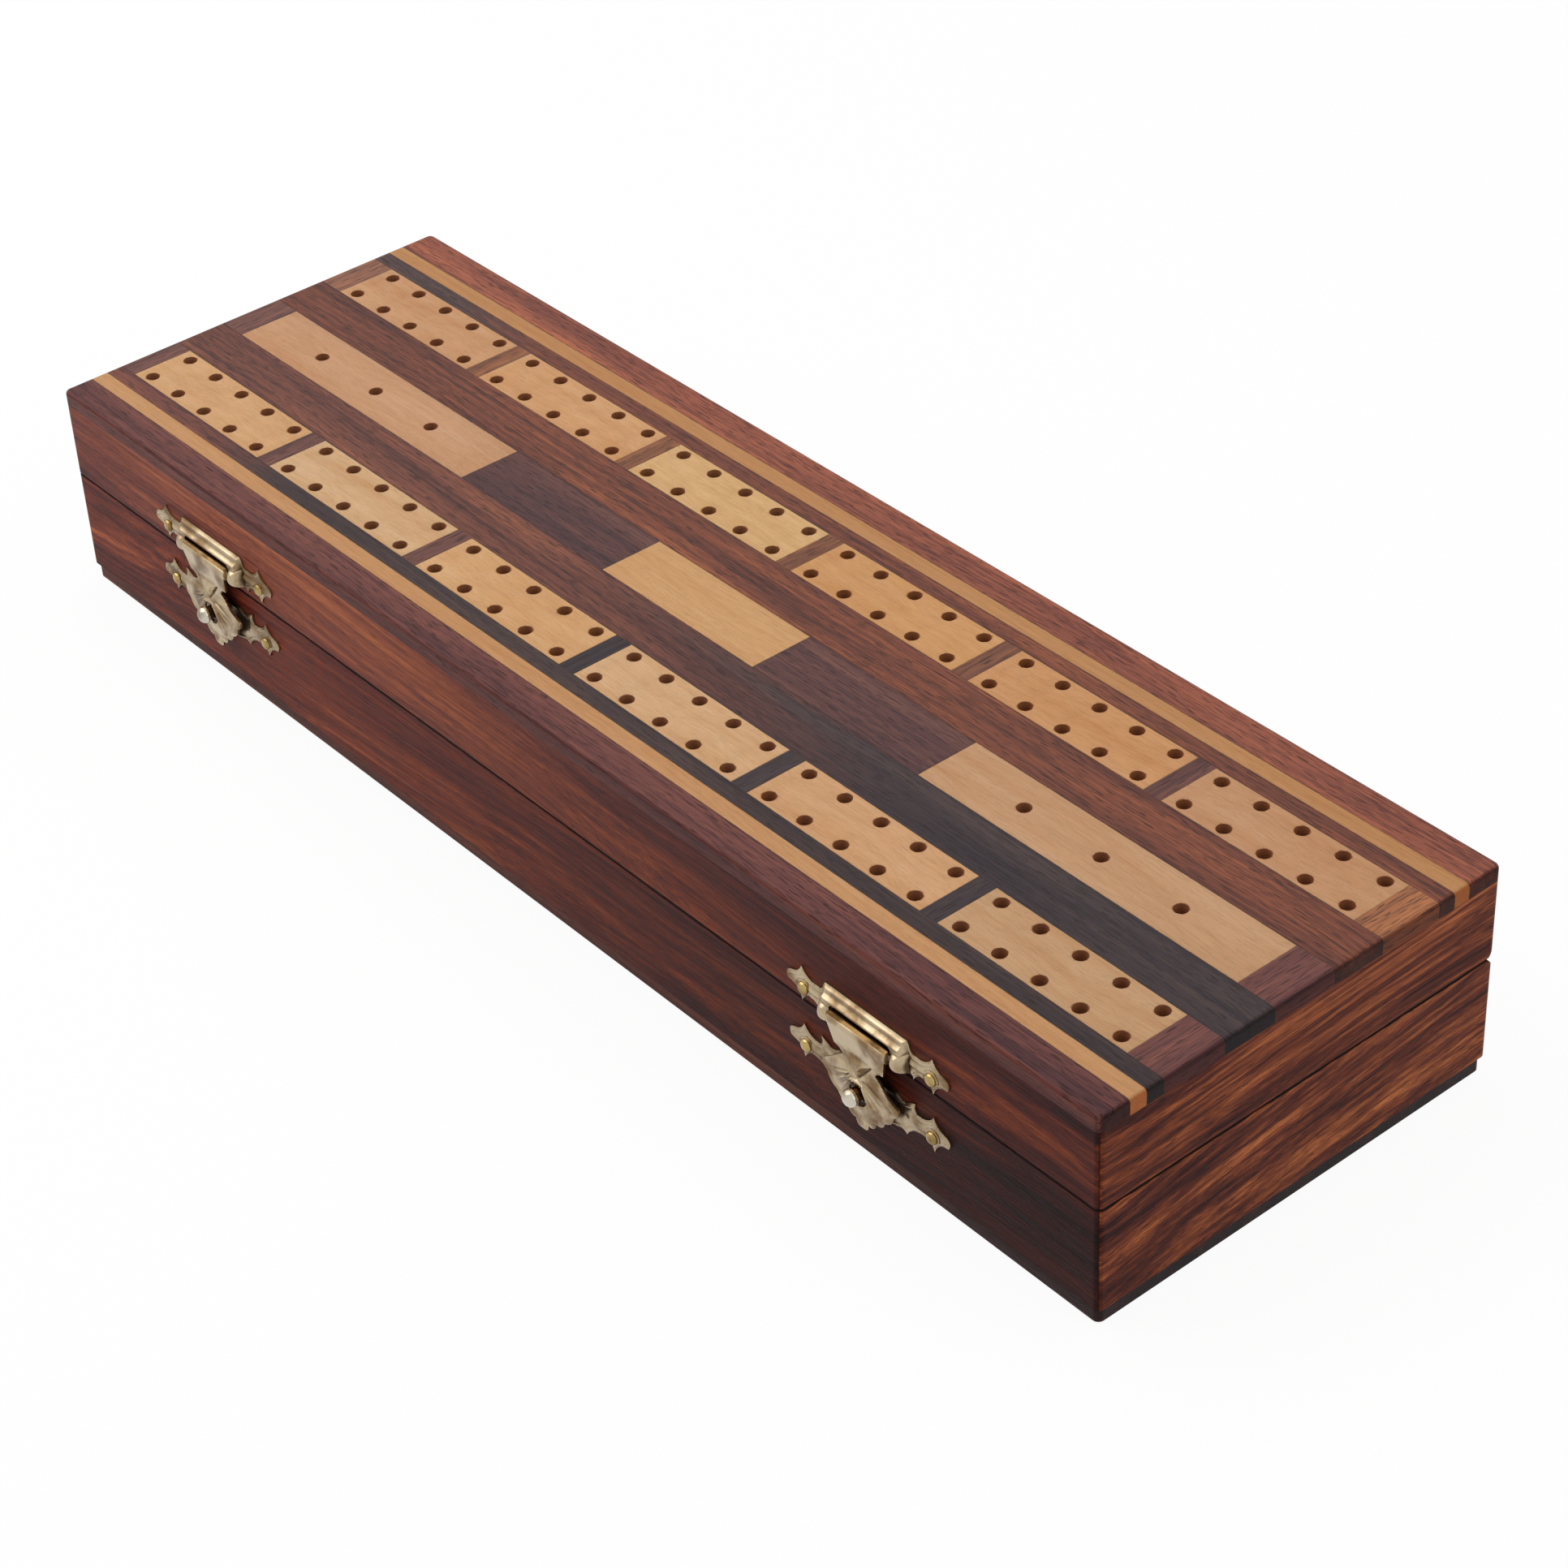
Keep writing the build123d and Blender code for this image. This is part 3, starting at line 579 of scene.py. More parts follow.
def apply_modifier(piece, kind, **settings):
    only(piece)
    made = piece.modifiers.new(kind.lower(), kind)
    for key, value in settings.items():
        setattr(made, key, value)
    bpy.ops.object.modifier_apply(modifier=made.name)


def cut_with(piece, tool, operation="DIFFERENCE"):
    """Cuts a piece with another one, which is used up."""
    apply_modifier(piece, "BOOLEAN", object=tool, operation=operation, solver="EXACT")
    bpy.data.objects.remove(tool, do_unlink=True)


def box_piece(name, low, high):
    """A block between two corners, with its place in its mesh."""
    low, high = Vector(low), Vector(high)
    bpy.ops.mesh.primitive_cube_add(size=1.0)
    piece = bpy.context.object
    piece.name = name
    piece.data.transform(Matrix.Translation((low + high) / 2)
                         @ Matrix.Diagonal((*(high - low), 1)))
    return piece


def round_bar(name, radius, length, place, axis="Z", sides=ROUND_HOLE_SIDES):
    """A round bar about its middle, along Z or X."""
    turn = (0, math.pi / 2 if axis == "X" else 0, 0)
    bpy.ops.mesh.primitive_cylinder_add(vertices=sides, radius=radius, depth=length,
                                        location=place, rotation=turn)
    piece = bpy.context.object
    piece.name = name
    bpy.ops.object.transform_apply(location=True, rotation=True, scale=True)
    return piece


def new_piece(name, data):
    """A piece, lamp or camera in the scene, from its data."""
    made = bpy.data.objects.new(name, data)
    bpy.context.collection.objects.link(made)
    return made


def joined(name, pieces):
    only(*pieces)
    bpy.ops.object.join()
    piece = bpy.context.object
    piece.name = name
    return piece


def smooth(piece, degrees=35):
    only(piece)
    bpy.ops.object.shade_smooth_by_angle(angle=math.radians(degrees))


def hole_grid(name, pitch, columns, row_gap, rows):
    """Where a block's drilled holes lie: first hole, pitches, last column and row."""
    low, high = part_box(name)
    middle = (Vector(low) + Vector(high)) / 2
    first = (middle.x - pitch * (columns - 1) / 2, middle.y - row_gap * (rows - 1) / 2, 0)
    return first, (pitch, row_gap, 1), columns - 1, rows - 1


def drilled_block(name, grid, material):
    """A maple block with round, lightly countersunk peg holes, in place of the CAD one."""
    low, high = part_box(name)
    piece = box_piece(name + "_drilled", low, high)
    (x0, y0, _), (pitch, row_gap, _), last_column, last_row = grid
    drills = []
    for column in range(last_column + 1):
        for row in range(last_row + 1):
            middle = (x0 + column * pitch, y0 + row * row_gap, high[2])
            drills.append(round_bar("drill", PEG_R, 2 * PEG_DEPTH, middle))
    cut_with(piece, joined("drills", drills))
    apply_modifier(piece, "BEVEL", width=BLOCK_BEVEL, segments=2, limit_method="ANGLE",
                   angle_limit=math.radians(60))
    smooth(piece)
    finish_with(piece, material)
    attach(piece, "lid")
    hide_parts(name)


BLOCK_TONES = {
    "front": [(196, 152, 108), (196, 158, 118), (197, 152, 106), (198, 158, 118),
              (196, 151, 110), (182, 142, 104)],
    "back": [(188, 142, 103), (194, 146, 102), (200, 160, 112), (192, 142, 93),
             (190, 139, 94), (183, 137, 100)],
}
GAME_BLOCK_TONES = {"left": (186, 140, 104), "right": (186, 144, 108)}
BLOCK_LOOK = {"mix": (0.42, 0.26, 0.32), "pores": 0.0, "band": 5.5}

for side, tones in BLOCK_TONES.items():
    for number, tone in enumerate(tones, start=1):
        name = f"{side}_track_block_{number}"
        grid = hole_grid(name, PEG_PITCH, 5, ROW_GAP, 2)
        seed = 30.0 + number * 1.7 + (11.0 if side == "back" else 0.0)
        drilled_block(name, grid, wood(name, maple_tones(tone), seed, piece=name,
                                       holes=grid, pace=0.04, **BLOCK_LOOK))
for side, tone in GAME_BLOCK_TONES.items():
    name = f"centre_{side}_peg_block"
    grid = hole_grid(name, GAME_PITCH, 3, ROW_GAP, 1)
    drilled_block(name, grid, wood(name, maple_tones(tone), 50.0 + len(side), piece=name,
                                   holes=grid, pace=0.03, **BLOCK_LOOK))

# ---- Latches, in their own frame and in millimetres: u right, v up from the seam, w out ----
SHEET = 0.5
LATCHES = {"left": (-99.8, 1.0), "right": (97.2, 0.0)}   # centre line, and lift above the seam
EAR_U = 16.4
LID_EAR_V = 3.9
BASE_EAR_V = -8.9
NAIL_SPOT = (16.1, -0.8)     # from the centre line, and from the ear's middle
WINDOW_HALF = 7.75
WINDOW_TOP = 5.5
ROLL_V, ROLL_W, ROLL_R, ROLL_HALF = 3.2, 1.75, 1.4, 7.4
FAN_V = -4.5
TIP_V = -17.2
STUD_V = -8.9
SLOT_R, SLOT_DROP, SLOT_SIDES = 1.95, 0.9, 40    # the hasp's slot over the stud
NAIL_ROOM = [(0, -1), (0.55, -1), (0.55, 3), (0, 3)]
GRID_STEP = 0.14
SHEET_MARGIN = 0.4           # how far the sheet reaches past its outline before it is cut
ROLL_OFF = (0.3, 0.16)       # how wide and how deep a stamping's edge is rounded over
STUD_HEAD_W = 3.9            # where the stud's shank ends
ROLL_CREST = 0.95            # how far above its axis the roll is worn to bronze
# how the mask of tarnish and painted shade in the creases is blurred, and how deep a crease goes
# fully dark
CREASE_SHADE_PASSES = 5
CREASE_SHADE_DEPTH = 0.17
ARC_STEPS = 6


def ear(middle_v):
    """A three-pointed ear, from its neck's upper edge round to the lower edge."""
    steps = [(-4.1, 1.8, -0.35), (0.1, 3.8, -0.75), (2.8, 1.5, -0.5), (3.7, -0.9, 0.85),
             (0.2, -3.7, -0.8), (-2.8, -1.9, -0.6)]
    return [(EAR_U + du, middle_v + dv, bulge) for du, dv, bulge in steps]


def rounded_outline(half):
    """A symmetric outline from its right half of (u, v, bulge) points, the bulges as arcs."""
    right = [half[0][:2]]
    for (u0, v0, _), (u1, v1, bulge) in zip(half, half[1:]):
        du, dv = u1 - u0, v1 - v0
        run = math.hypot(du, dv)
        for number in range(1, ARC_STEPS if bulge else 1):
            part = number / ARC_STEPS
            swell = 4 * bulge * part * (1 - part)
            right.append((u0 + du * part - dv / run * swell, v0 + dv * part + du / run * swell))
        right.append((u1, v1))
    left = [(-u, v) for u, v in reversed(right) if u > 0.001]
    return right + left


LID_PLATE = rounded_outline(
    [(0, 7.8, 0), (10.3, 7.8, 0), (10.9, 6.6, 0.1), *ear(LID_EAR_V), (11.7, 0.3, -0.3),
     (10.0, 1.4, -0.4), (6.8, 1.4, 0), (6.8, 4.0, 0), (0, 4.0, 0)])
BASE_PLATE = rounded_outline(
    [(0, -5.4, 0), (7.4, -5.4, 0), (9.6, -6.1, -0.25), (12.0, -5.0, 0), *ear(BASE_EAR_V),
     (9.6, -13.3, -0.7), (8.4, -12.6, -0.2), (0, -13.0, 0.6)])
SCALLOPS = [(75, 9.85), (60, 9.8), (38, 9.8), (21, 10.3), (8, 11.4)]
HASP = rounded_outline(
    [(0, ROLL_V, 0), (ROLL_HALF, ROLL_V, 0), (6.2, -1.6, 0), (4.1, -2.8, -0.35)]
    + [(radius * math.sin(math.radians(angle)), FAN_V - radius * math.cos(math.radians(angle)),
        0.6 if number else 0) for number, (angle, radius) in enumerate(SCALLOPS)]
    + [(0, TIP_V, 0.6)])
STUD_SLOT = [(SLOT_R * math.cos(turn),
              STUD_V + SLOT_R * math.sin(turn) - (SLOT_DROP if turn > math.pi else 0))
             for turn in np.linspace(0, 2 * math.pi, SLOT_SIDES + 1)[:-1]]
WINDOW = [(-WINDOW_HALF, -3), (WINDOW_HALF, -3), (WINDOW_HALF, WINDOW_TOP - 0.5),
          (WINDOW_HALF - 0.6, WINDOW_TOP), (0.6 - WINDOW_HALF, WINDOW_TOP),
          (-WINDOW_HALF, WINDOW_TOP - 0.5)]


def edge_distance(outline, u, v):
    """How far each point lies from the nearest stretch of an outline."""
    points = np.array(outline)
    ends = np.roll(points, -1, axis=0)
    nearest = np.full(u.shape, 99.0)
    for (u0, v0), (u1, v1) in zip(points, ends):
        du, dv = u1 - u0, v1 - v0
        part = np.clip(((u - u0) * du + (v - v0) * dv) / (du * du + dv * dv + 1e-12), 0, 1)
        nearest = np.minimum(nearest, np.hypot(u - u0 - part * du, v - v0 - part * dv))
    return nearest


def eased(value, low, high):
    """0 at low, 1 at high, smooth between."""
    part = np.clip((value - low) / (high - low), 0, 1)
    return part * part * (3 - 2 * part)


def bump_at(value, middle, width):
    return np.exp(-((value - middle) / width) ** 2)


def pressed_rim(edge):
    return 0.2 * bump_at(edge, 0.55, 0.2)


def ear_ridge(side, v, ear_v, height, width, rise):
    """A ridge that runs out along an ear and ends before its nail."""
    return height * bump_at(v, ear_v - 0.1, width) * eased(side, *rise) \
        * (1 - eased(side, 14.2, 15.2))


def nail_dish(side, v, ear_v):
    """A shallow ring pressed round a nail."""
    away = np.hypot(side - NAIL_SPOT[0], v - ear_v - NAIL_SPOT[1])
    return -0.12 * bump_at(away, 1.75, 0.3)


def lid_plate_height(u, v, edge):
    """Flat ears, a bevelled top strip, and a round boss at each end of the window."""
    side = np.abs(u)
    fade = 1 - eased(side, 9.6, 10.7)
    strip = (0.6 * eased(v, 7.8, 7.15) + 0.85 * eased(v, 6.95, 5.7)
             + 0.14 * bump_at(v, 5.9, 0.22)) * (0.35 + 0.65 * eased(v, 1.0, 4.6))
    across = np.clip(1 - ((side - 9.15) / 1.7) ** 2, 0, 1)
    down = np.clip(1 - ((v - 3.0) / 2.2) ** 2, 0, 1)
    boss = 2.55 * np.sqrt(across * down)
    rim = pressed_rim(edge) * eased(side, 10.8, 12.0)
    ridge = ear_ridge(side, v, LID_EAR_V, 0.4, 0.55, (10.4, 11.6))
    return SHEET + np.maximum(strip * fade, boss) + rim + ridge + nail_dish(side, v, LID_EAR_V)


def base_plate_height(u, v, edge):
    """Flat, with a pressed rim and a ridge towards each ear."""
    side = np.abs(u)
    ridge = ear_ridge(side, v, BASE_EAR_V, 0.35, 0.6, (9.6, 11.0))
    return SHEET + pressed_rim(edge) + ridge + nail_dish(side, v, BASE_EAR_V)


def hasp_height(u, v, edge):
    """A leaf that falls to the tip, with a raised triangle, a brow and a ribbed, domed fan."""
    leaf = np.where(v > -1.6, 2.5 + (v + 1.6) * 0.65 / 4.8, 2.1 + (v - TIP_V) * 0.4 / 15.6)
    side = np.abs(u)
    to_slope = (v + 5.3 - side * 1.25) / 1.6
    triangle = 0.6 * np.clip(np.minimum(-1.3 - v, to_slope) / 0.9, 0, 1)
    crease = -0.26 * bump_at(to_slope, -0.24, 0.16) * eased(v, -6.0, -5.2) \
        * (1 - eased(v, -2.0, -1.2))
    brow = 0.42 * bump_at(v + 0.08 * u * u, -6.3, 0.4) * (1 - eased(side, 1.9, 3.0))
    reach = np.hypot(u, v - FAN_V)
    turn = np.degrees(np.arctan2(u, FAN_V - v))
    ribs = np.clip(np.cos(np.radians(turn * 360 / 13.0)), -0.4, 1)
    inner = eased(reach, 2.0, 3.0) * (1 - eased(reach, 5.6, 9.0)) \
        * (1 - eased(np.abs(turn), 64, 76))
    dome = 0.5 * np.clip(1 - ((reach - 4.4) / 5.8) ** 2, 0, 1) * (1 - eased(v, -5.2, -3.6))
    scallops = 0.22 * bump_at(edge, 0.85, 0.35) * (1 - eased(v, -8.0, -6.5))
    return leaf + triangle + crease + brow + 0.3 * ribs * inner + dome + scallops


def crease_tarnish_and_shade_of(heights, columns):
    """Where a pressed surface lies lower than what is round it, 0 to 1: the mask of tarnish and
    painted shade in its creases.
    """
    level = heights.reshape(-1, columns)
    around = level.copy()
    for _ in range(CREASE_SHADE_PASSES):
        for axis in (0, 1):
            around = (np.roll(around, 1, axis) + around + np.roll(around, -1, axis)) / 3
    return np.clip((around - level) / CREASE_SHADE_DEPTH, 0, 1).ravel()


def edit_whole(piece, step, **settings):
    """Runs one mesh step on the whole of a piece, and turns its faces outwards."""
    only(piece)
    bpy.ops.object.mode_set(mode="EDIT")
    bpy.ops.mesh.select_all(action="SELECT")
    step(**settings)
    bpy.ops.mesh.select_all(action="SELECT")
    bpy.ops.mesh.normals_make_consistent(inside=False)
    bpy.ops.object.mode_set(mode="OBJECT")


def thicken(piece, depth):
    edit_whole(piece, bpy.ops.mesh.extrude_region_move,
               TRANSFORM_OT_translate={"value": (0, 0, depth)})


def raised_outline(name, outline, low, high):
    """A solid of one outline from w low to high."""
    mesh = bpy.data.meshes.new(name)
    mesh.from_pydata([(u, v, low) for u, v in outline], [], [list(range(len(outline)))])
    piece = new_piece(name, mesh)
    thicken(piece, high - low)
    return piece


def mend_cuts(piece):
    """Dissolves the points that join only two edges, and closes the pinholes, that cuts leave."""
    only(piece)
    ends = np.empty(len(piece.data.edges) * 2, dtype=np.int32)
    piece.data.edges.foreach_get("vertices", ends)
    joins = np.bincount(ends, minlength=len(piece.data.vertices))
    bpy.ops.object.mode_set(mode="EDIT")
    bpy.ops.mesh.select_mode(type="VERT")
    bpy.ops.mesh.select_all(action="DESELECT")
    bpy.ops.object.mode_set(mode="OBJECT")
    piece.data.vertices.foreach_set("select", joins == 2)
    bpy.ops.object.mode_set(mode="EDIT")
    bpy.ops.mesh.dissolve_verts()
    bpy.ops.mesh.select_all(action="SELECT")
    bpy.ops.mesh.fill_holes(sides=4)
    bpy.ops.object.mode_set(mode="OBJECT")


def pressed_sheet(name, outline, height_of, cuts):
    """A stamping: a fine sheet pressed to its relief, given its thickness and cut out."""
    points = np.array(outline)
    low, high = points.min(axis=0) - SHEET_MARGIN, points.max(axis=0) + SHEET_MARGIN
    size = high - low
    columns = int(size[0] / GRID_STEP)
    bpy.ops.mesh.primitive_grid_add(x_subdivisions=columns,
                                    y_subdivisions=int(size[1] / GRID_STEP), size=1.0)
    piece = bpy.context.object
    piece.name = name
    middle = (low + high) / 2
    piece.data.transform(Matrix.Translation((*middle, 0)) @ Matrix.Diagonal((*size, 1, 1)))
    flat = np.empty(len(piece.data.vertices) * 3)
    piece.data.vertices.foreach_get("co", flat)
    places = flat.reshape(-1, 3)
    u, v = places[:, 0], places[:, 1]
    edge = edge_distance(outline, u, v)
    roll_off = ROLL_OFF[1] * np.clip(1 - edge / ROLL_OFF[0], 0, 1) ** 2
    relief = height_of(u, v, edge)
    # the creases' tarnish and painted shade, stored for the metal's material
    crease_tarnish_and_shade = piece.data.attributes.new("crease_tarnish_and_shade", "FLOAT", "POINT")
    crease_tarnish_and_shade.data.foreach_set("value", crease_tarnish_and_shade_of(relief, columns + 1))
    places[:, 2] = relief - roll_off
    piece.data.vertices.foreach_set("co", flat)
    piece.data.update()
    thicken(piece, -SHEET)
    cut_with(piece, raised_outline("outline", outline, -3, 8), "INTERSECT")
    for cut in cuts:
        cut_with(piece, cut)
    mend_cuts(piece)
    smooth(piece, 50)
    return piece


def turned(name, profile, sides=40):
    """A round piece about the w axis from its (radius, w) profile."""
    mesh = bpy.data.meshes.new(name)
    mesh.from_pydata([(radius, 0, w) for radius, w in profile],
                     [(number, number + 1) for number in range(len(profile) - 1)], [])
    piece = new_piece(name, mesh)
    apply_modifier(piece, "SCREW", axis="Z", angle=2 * math.pi, steps=sides, render_steps=sides,
                   use_merge_vertices=True, merge_threshold=0.001)
    edit_whole(piece, bpy.ops.mesh.remove_doubles, threshold=0.002)
    smooth(piece, 40)
    return piece


def onto_front(piece, side):
    """Moves a piece from a latch's own frame to its place on the front face."""
    centre, lift = LATCHES[side]
    place = Matrix.Translation((centre * MM, FRONT_Y, SEAM_Z + lift * MM))
    piece.data.transform(place @ Matrix.Rotation(math.radians(90), 4, "X") @ Matrix.Scale(MM, 4))


def finish_faces(piece, material, chosen):
    """Gives the faces whose middle is chosen a second material."""
    piece.data.materials.append(material)
    for face in piece.data.polygons:
        if chosen(face.center):
            face.material_index = 1


def moved(piece, u, v):
    piece.data.transform(Matrix.Translation((u, v, 0)))
    return piece


def on_ears(name, profile, sides, ear_v):
    """Two round pieces on the nail spots of a plate's ears."""
    return [moved(turned(name, profile, sides), sign * NAIL_SPOT[0], ear_v + NAIL_SPOT[1])
            for sign in (-1, 1)]


def make_hasp():
    """The leaf and fan with the rolled edge that it swings on."""
    leaf = pressed_sheet("hasp", HASP, hasp_height,
                         [raised_outline("slot", STUD_SLOT, -1, 6)])
    roll = round_bar("roll", ROLL_R, 2 * ROLL_HALF, (0, ROLL_V, ROLL_W), axis="X", sides=56)
    apply_modifier(roll, "BEVEL", width=0.18, segments=3, limit_method="ANGLE",
                   angle_limit=math.radians(50))
    smooth(roll)
    return joined("hasp", [roll, leaf])


DOMED_HEAD = [(1.3, SHEET), (1.32, SHEET + 0.12), (1.2, SHEET + 0.38), (0.95, SHEET + 0.58),
              (0.6, SHEET + 0.71), (0.25, SHEET + 0.75), (0, SHEET + 0.75)]
NAIL_PROFILE = [(0, -6.0), (0.5, -5.2), (0.5, SHEET), *DOMED_HEAD]
STUD_PROFILE = [(0, SHEET - 0.2), (1.9, SHEET - 0.2), (1.9, SHEET + 0.15), (1.35, SHEET + 0.4),
                (1.35, 3.85), (1.5, 3.95), (1.72, 4.1), (1.75, 4.4), (1.66, 4.85), (1.42, 5.25),
                (1.05, 5.54), (0.6, 5.72), (0.2, 5.78), (0, 5.78)]

CHAMPAGNE = plated("champagne plate", (184, 164, 134), (126, 100, 70), 0.4)
PALE_BASE = plated("champagne base plate", (172, 152, 124), (118, 94, 68), 1.9)
NAIL_GOLD = plated("nail gold", (178, 154, 100), (118, 90, 50), 3.1, rough=(0.12, 0.2))
STUD_SILVER = plated("stud nickel", (200, 192, 176), (142, 128, 106), 4.3, rough=(0.14, 0.24))
STUD_SHANK = plated("stud shank", (122, 84, 48), (66, 42, 24), 5.2, rough=(0.2, 0.34))
ROLL_BRONZE = plated("roll bronze", (122, 96, 60), (74, 52, 28), 8.1, rough=(0.2, 0.34))
HINGE_BRASS = plated("hinge brass", (176, 144, 88), (112, 82, 46), 6.6)
PIN_STEEL = plated("pin steel", (164, 156, 142), (96, 86, 74), 7.3)

PATTERNS = {
    "lid_plate": pressed_sheet("lid_plate", LID_PLATE, lid_plate_height,
                               [raised_outline("window", WINDOW, -1, 8),
                                *on_ears("nail_hole", NAIL_ROOM, 16, LID_EAR_V)]),
    "base_plate": pressed_sheet("base_plate", BASE_PLATE, base_plate_height,
                                on_ears("nail_hole", NAIL_ROOM, 16, BASE_EAR_V)),
    "hasp": make_hasp(),
    "stud": turned("stud", STUD_PROFILE),
}
FINISHES = {"lid_plate": (CHAMPAGNE, "lid", "latch_brass"),
            "base_plate": (PALE_BASE, "base", "latch_brass"),
            "hasp": (CHAMPAGNE, None, "latch_brass"), "stud": (STUD_SHANK, "base", "stud_metal")}
moved(PATTERNS["stud"], 0, STUD_V)

for side in LATCHES:
    for part, pattern in PATTERNS.items():
        material, body, slot = FINISHES[part]
        piece = new_piece(f"{side}_{part}", pattern.data.copy())
        onto_front(piece, side)
        finish_with(piece, material)
        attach(piece, body or f"{side}_hasp")
        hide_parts(f"{side}_latch_{part}")
        if part == "stud":
            finish_faces(piece, STUD_SILVER, lambda at: at.y < FRONT_Y - STUD_HEAD_W * MM)
        if part == "hasp":
            crest = SEAM_Z + (LATCHES[side][1] + ROLL_V + ROLL_CREST) * MM
            finish_faces(piece, ROLL_BRONZE, lambda at: at.z > crest)
for pattern in PATTERNS.values():
    bpy.data.objects.remove(pattern, do_unlink=True)

for which, ear_v, body in (("lid", LID_EAR_V, "lid"), ("base", BASE_EAR_V, "base")):
    nails = []
    for side in LATCHES:
        for nail in on_ears("nail", NAIL_PROFILE, 32, ear_v):
            onto_front(nail, side)
            nails.append(nail)
    group_of_nails = joined(f"latch_{which}_nail_set", nails)
    finish_with(group_of_nails, NAIL_GOLD)
    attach(group_of_nails, body)
    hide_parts(f"latch_{which}_nails")

# ---- Hinges and pins ----
KNUCKLES = 3
KNUCKLE_R = 1.6 * MM
KNUCKLE_GAP = 0.3 * MM
POCKET_GAP = 0.25 * MM
LEAF_T = 0.8 * MM
LEAF_GAP = 0.1 * MM          # between the two closed leaves
LEAF_DEPTH = 6.0 * MM        # from the pin's axis to the leaf's inner edge
HINGE_PIN_R = 0.65 * MM
HINGE_NAIL_SPOT = (8.0 * MM, 3.6 * MM)   # from the hinge's middle and from the pin's axis
COUNTERSUNK_NAIL = [(0, -5.0), (0.25, -4.9), (0.45, -4.2), (0.45, -0.45), (0.88, -0.02),
                    (0.84, 0), (0, 0)]
NAIL_HOLE = [(0, -2), (0.5, -2), (0.5, -0.45), (0.95, 0), (0.95, 0.5), (0, 0.5)]
PIN_LOW, PIN_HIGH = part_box("hinge_pins")
HINGE_Y = (PIN_LOW[1] + PIN_HIGH[1]) / 2


def for_leaf(name, profile, middle_x, up):
    """Two round pieces on the nail spots of a leaf whose inner face looks up or down."""
    made = []
    for sign in (-1, 1):
        piece = turned(name, profile, 24)
        place = Matrix.Translation((middle_x + sign * HINGE_NAIL_SPOT[0],
                                    HINGE_Y - HINGE_NAIL_SPOT[1], SEAM_Z - up * LEAF_GAP / 2))
        turn = Matrix.Rotation(0 if up > 0 else math.pi, 4, "X")
        piece.data.transform(place @ turn @ Matrix.Scale(MM, 4))
        made.append(piece)
    return made


def hinge_leaf(side, half, up, knuckles, pin_gap):
    """A leaf let into its board, with round knuckles, countersunk holes and the pin's bore."""
    low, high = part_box(f"{side}_hinge_{half}_leaf")
    outer, inner = SEAM_Z - up * (LEAF_GAP / 2 + LEAF_T), SEAM_Z - up * LEAF_GAP / 2
    leaf = box_piece(f"{side}_{half}_hinge", (low[0], HINGE_Y - LEAF_DEPTH, min(outer, inner)),
                     (high[0], HINGE_Y, max(outer, inner)))
    pitch = (high[0] - low[0] + KNUCKLE_GAP) / KNUCKLES
    width = pitch - KNUCKLE_GAP
    middles = [(low[0] + number * pitch + width / 2, HINGE_Y, SEAM_Z)
               for number in range(KNUCKLES)]
    along_pin = {"axis": "X", "sides": 40}
    for number, middle in enumerate(middles):
        if number not in knuckles:
            cut_with(leaf, round_bar("room", KNUCKLE_R + POCKET_GAP, width + 2 * KNUCKLE_GAP,
                                     middle, **along_pin))
    for number in knuckles:
        cut_with(leaf, round_bar("knuckle", KNUCKLE_R, width, middles[number], **along_pin),
                 "UNION")
    hinge_x = (low[0] + high[0]) / 2
    cut_with(leaf, round_bar("bore", HINGE_PIN_R + pin_gap, 2 * (high[0] - low[0]),
                             (hinge_x, HINGE_Y, SEAM_Z), **along_pin))
    for hole in for_leaf("hole", NAIL_HOLE, hinge_x, up):
        cut_with(leaf, hole)
    smooth(leaf)
    return leaf, for_leaf("nail", COUNTERSUNK_NAIL, hinge_x, up)


# each half of a hinge: the way its inner face looks, its knuckles and its room round the pin
for half, up, knuckles, pin_gap in (("base", 1, (0, 2), 0.03 * MM),
                                    ("lid", -1, (1,), 0.06 * MM)):
    nails = []
    for side in ("left", "right"):
        leaf, leaf_nails = hinge_leaf(side, half, up, knuckles, pin_gap)
        finish_with(leaf, HINGE_BRASS)
        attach(leaf, half)
        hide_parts(f"{side}_hinge_{half}_leaf")
        nails += leaf_nails
    nail_set = joined(f"hinge_{half}_nail_set", nails)
    finish_with(nail_set, NAIL_GOLD)
    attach(nail_set, half)
    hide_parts(f"hinge_{half}_nails")
for name in ("hinge_pins", "latch_pins"):
    dress(name, PIN_STEEL)


# ---- Floor, light and camera ----
def sees_white(tree):
    """1 on the camera's rays and on those that metal sends on, which show a white surround."""
    path = node(tree, "LightPath")
    seen = calc(tree, "MAXIMUM", path.outputs["Is Camera Ray"], path.outputs["Is Glossy Ray"])
    return calc(tree, "MAXIMUM", seen, path.outputs["Is Transmission Ray"])


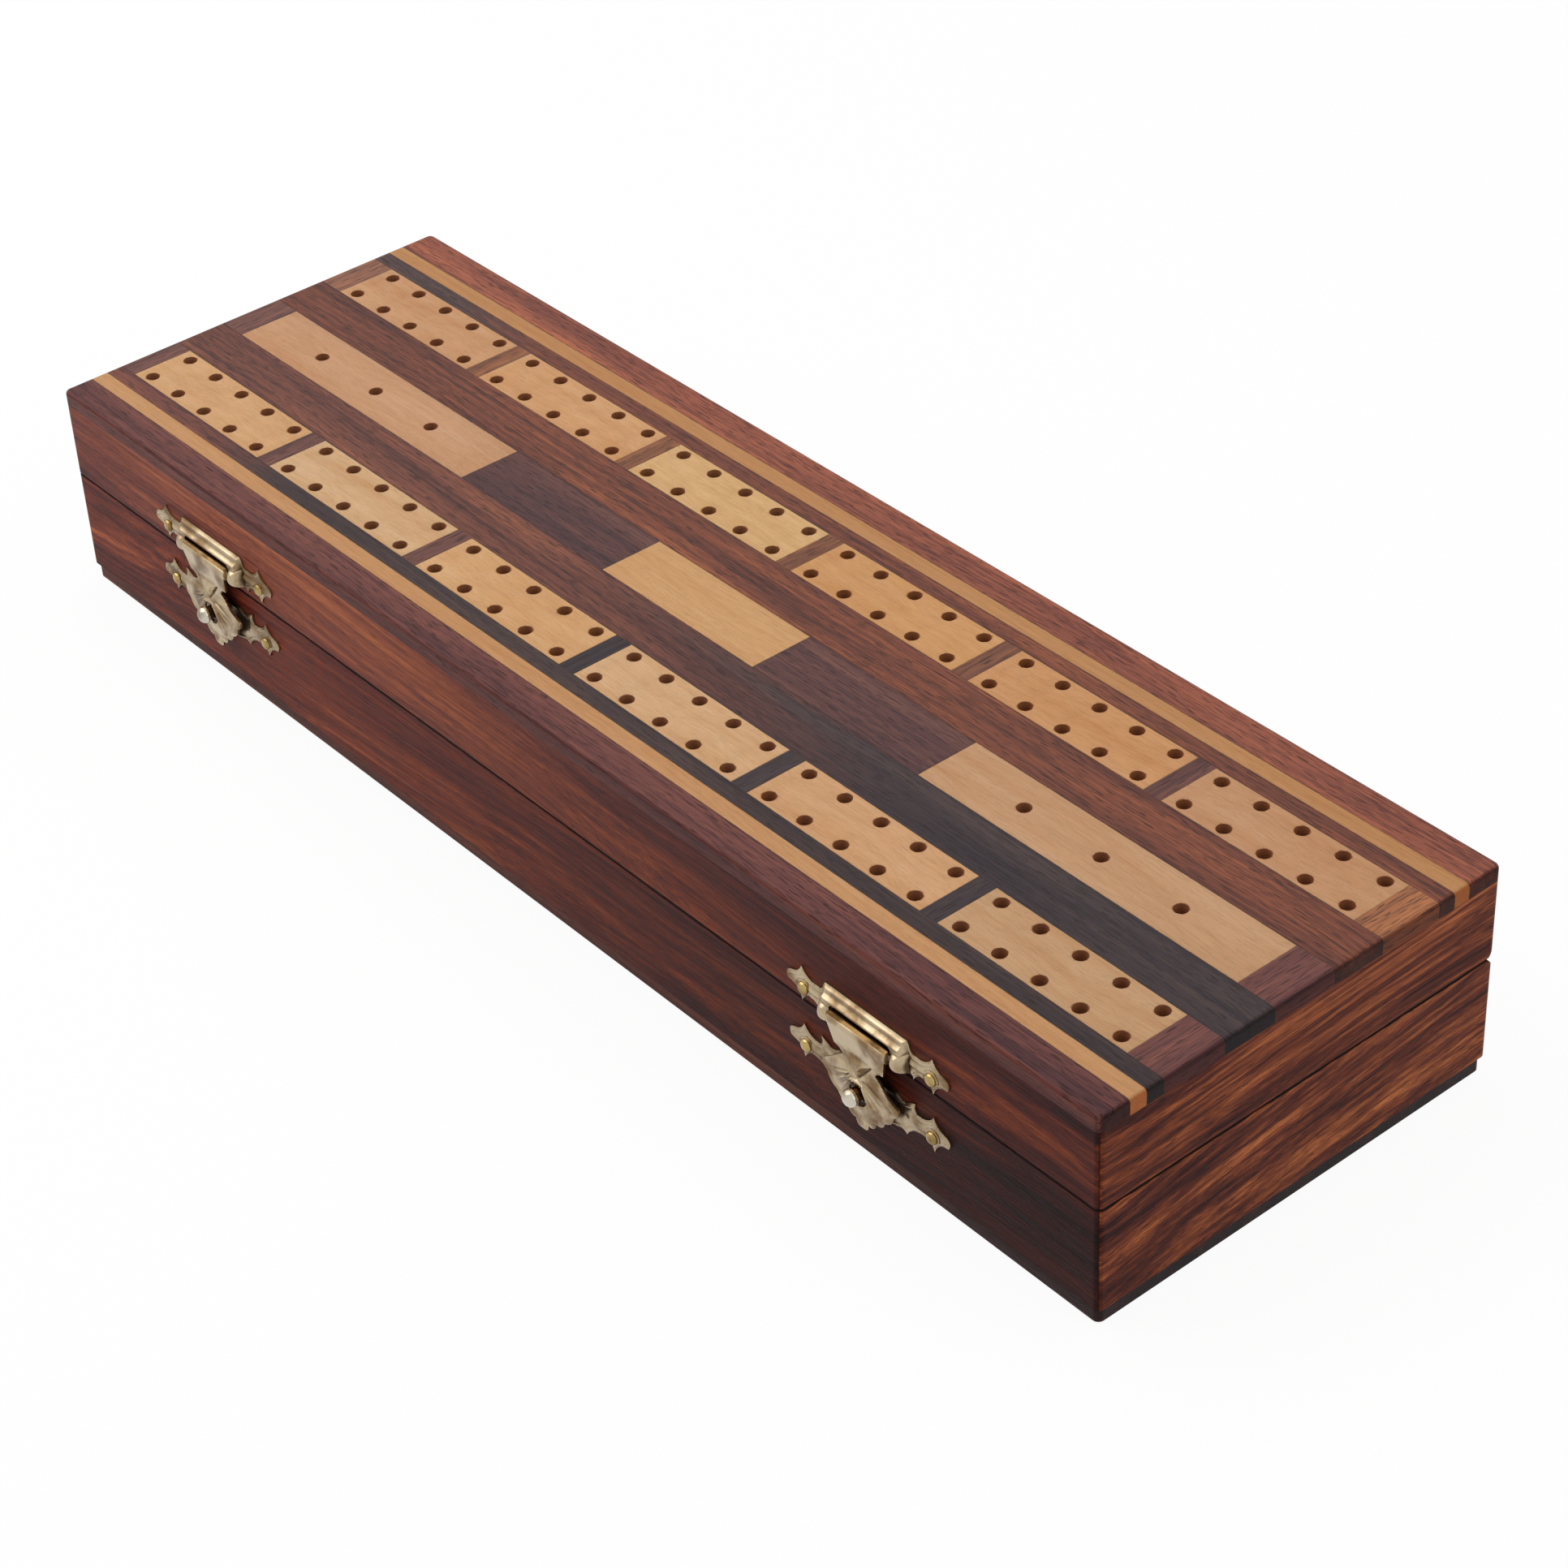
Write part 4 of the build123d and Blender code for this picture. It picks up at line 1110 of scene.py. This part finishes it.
def lay_floor():
    """A pale floor, plain white to the eye apart from the object's soft shadow."""
    bpy.ops.mesh.primitive_plane_add(size=FLOOR_SIZE, location=(0, 0, 0))
    floor = bpy.context.object
    floor.name = "floor"
    made, tree, shader, _ = new_material("floor")
    shader.inputs["Base Color"].default_value = (FLOOR_TONE, FLOOR_TONE, FLOOR_TONE, 1)
    shader.inputs["Roughness"].default_value = 0.9
    shader.inputs["Specular IOR Level"].default_value = 0.1
    glow = node(tree, "Emission", {"Color": (1, 1, 1, 1), "Strength": 1.0})
    blend = node(tree, "MixShader", {0: times(tree, sees_white(tree), FLOOR_GLOW),
                                     1: shader.outputs[0], 2: glow.outputs[0]})
    tree.links.new(blend.outputs[0], tree.nodes["Material Output"].inputs["Surface"])
    floor.data.materials.append(made)


def add_area(name, place, target, size, power):
    lamp = bpy.data.lights.new(name, "AREA")
    lamp.shape = "RECTANGLE"
    lamp.size, lamp.size_y = size
    lamp.energy = power
    holder = new_piece(name, lamp)
    holder.location = place
    aim = Vector(target) - Vector(place)
    holder.rotation_euler = aim.to_track_quat("-Z", "Y").to_euler()


def light_studio():
    """A white surround to the eye, brighter overhead than at the sides for the object."""
    world = bpy.data.worlds.new("studio")
    bpy.context.scene.world = world
    world.use_nodes = True
    tree = world.node_tree
    backdrop = tree.nodes["Background"]
    way = split(tree, node(tree, "TexCoord").outputs["Generated"])
    level = between(tree, way["Z"], 0.05, 0.8, SIDE_LIGHT, SKY_LIGHT)
    strength = calc(tree, "MAXIMUM", level, sees_white(tree))
    backdrop.inputs["Color"].default_value = (1, 1, 1, 1)
    tree.links.new(strength, backdrop.inputs["Strength"])
    for lamp in LAMPS:
        add_area(*lamp)


def place_camera():
    lens = bpy.data.cameras.new("camera")
    lens.sensor_width = 36.0
    lens.lens_unit = "FOV"
    lens.angle = math.radians(CAMERA_ANGLE)
    lens.clip_start = 0.01
    camera = new_piece("camera", lens)
    right = CAMERA_RIGHT.normalized()
    back = right.cross(CAMERA_UP).normalized()
    up = back.cross(right)
    turn = Matrix((right, up, back)).transposed().to_4x4()
    camera.matrix_world = Matrix.Translation(CAMERA_PLACE) @ turn
    bpy.context.scene.camera = camera


lay_floor()
light_studio()
place_camera()
bpy.context.scene.view_settings.view_transform = "Standard"
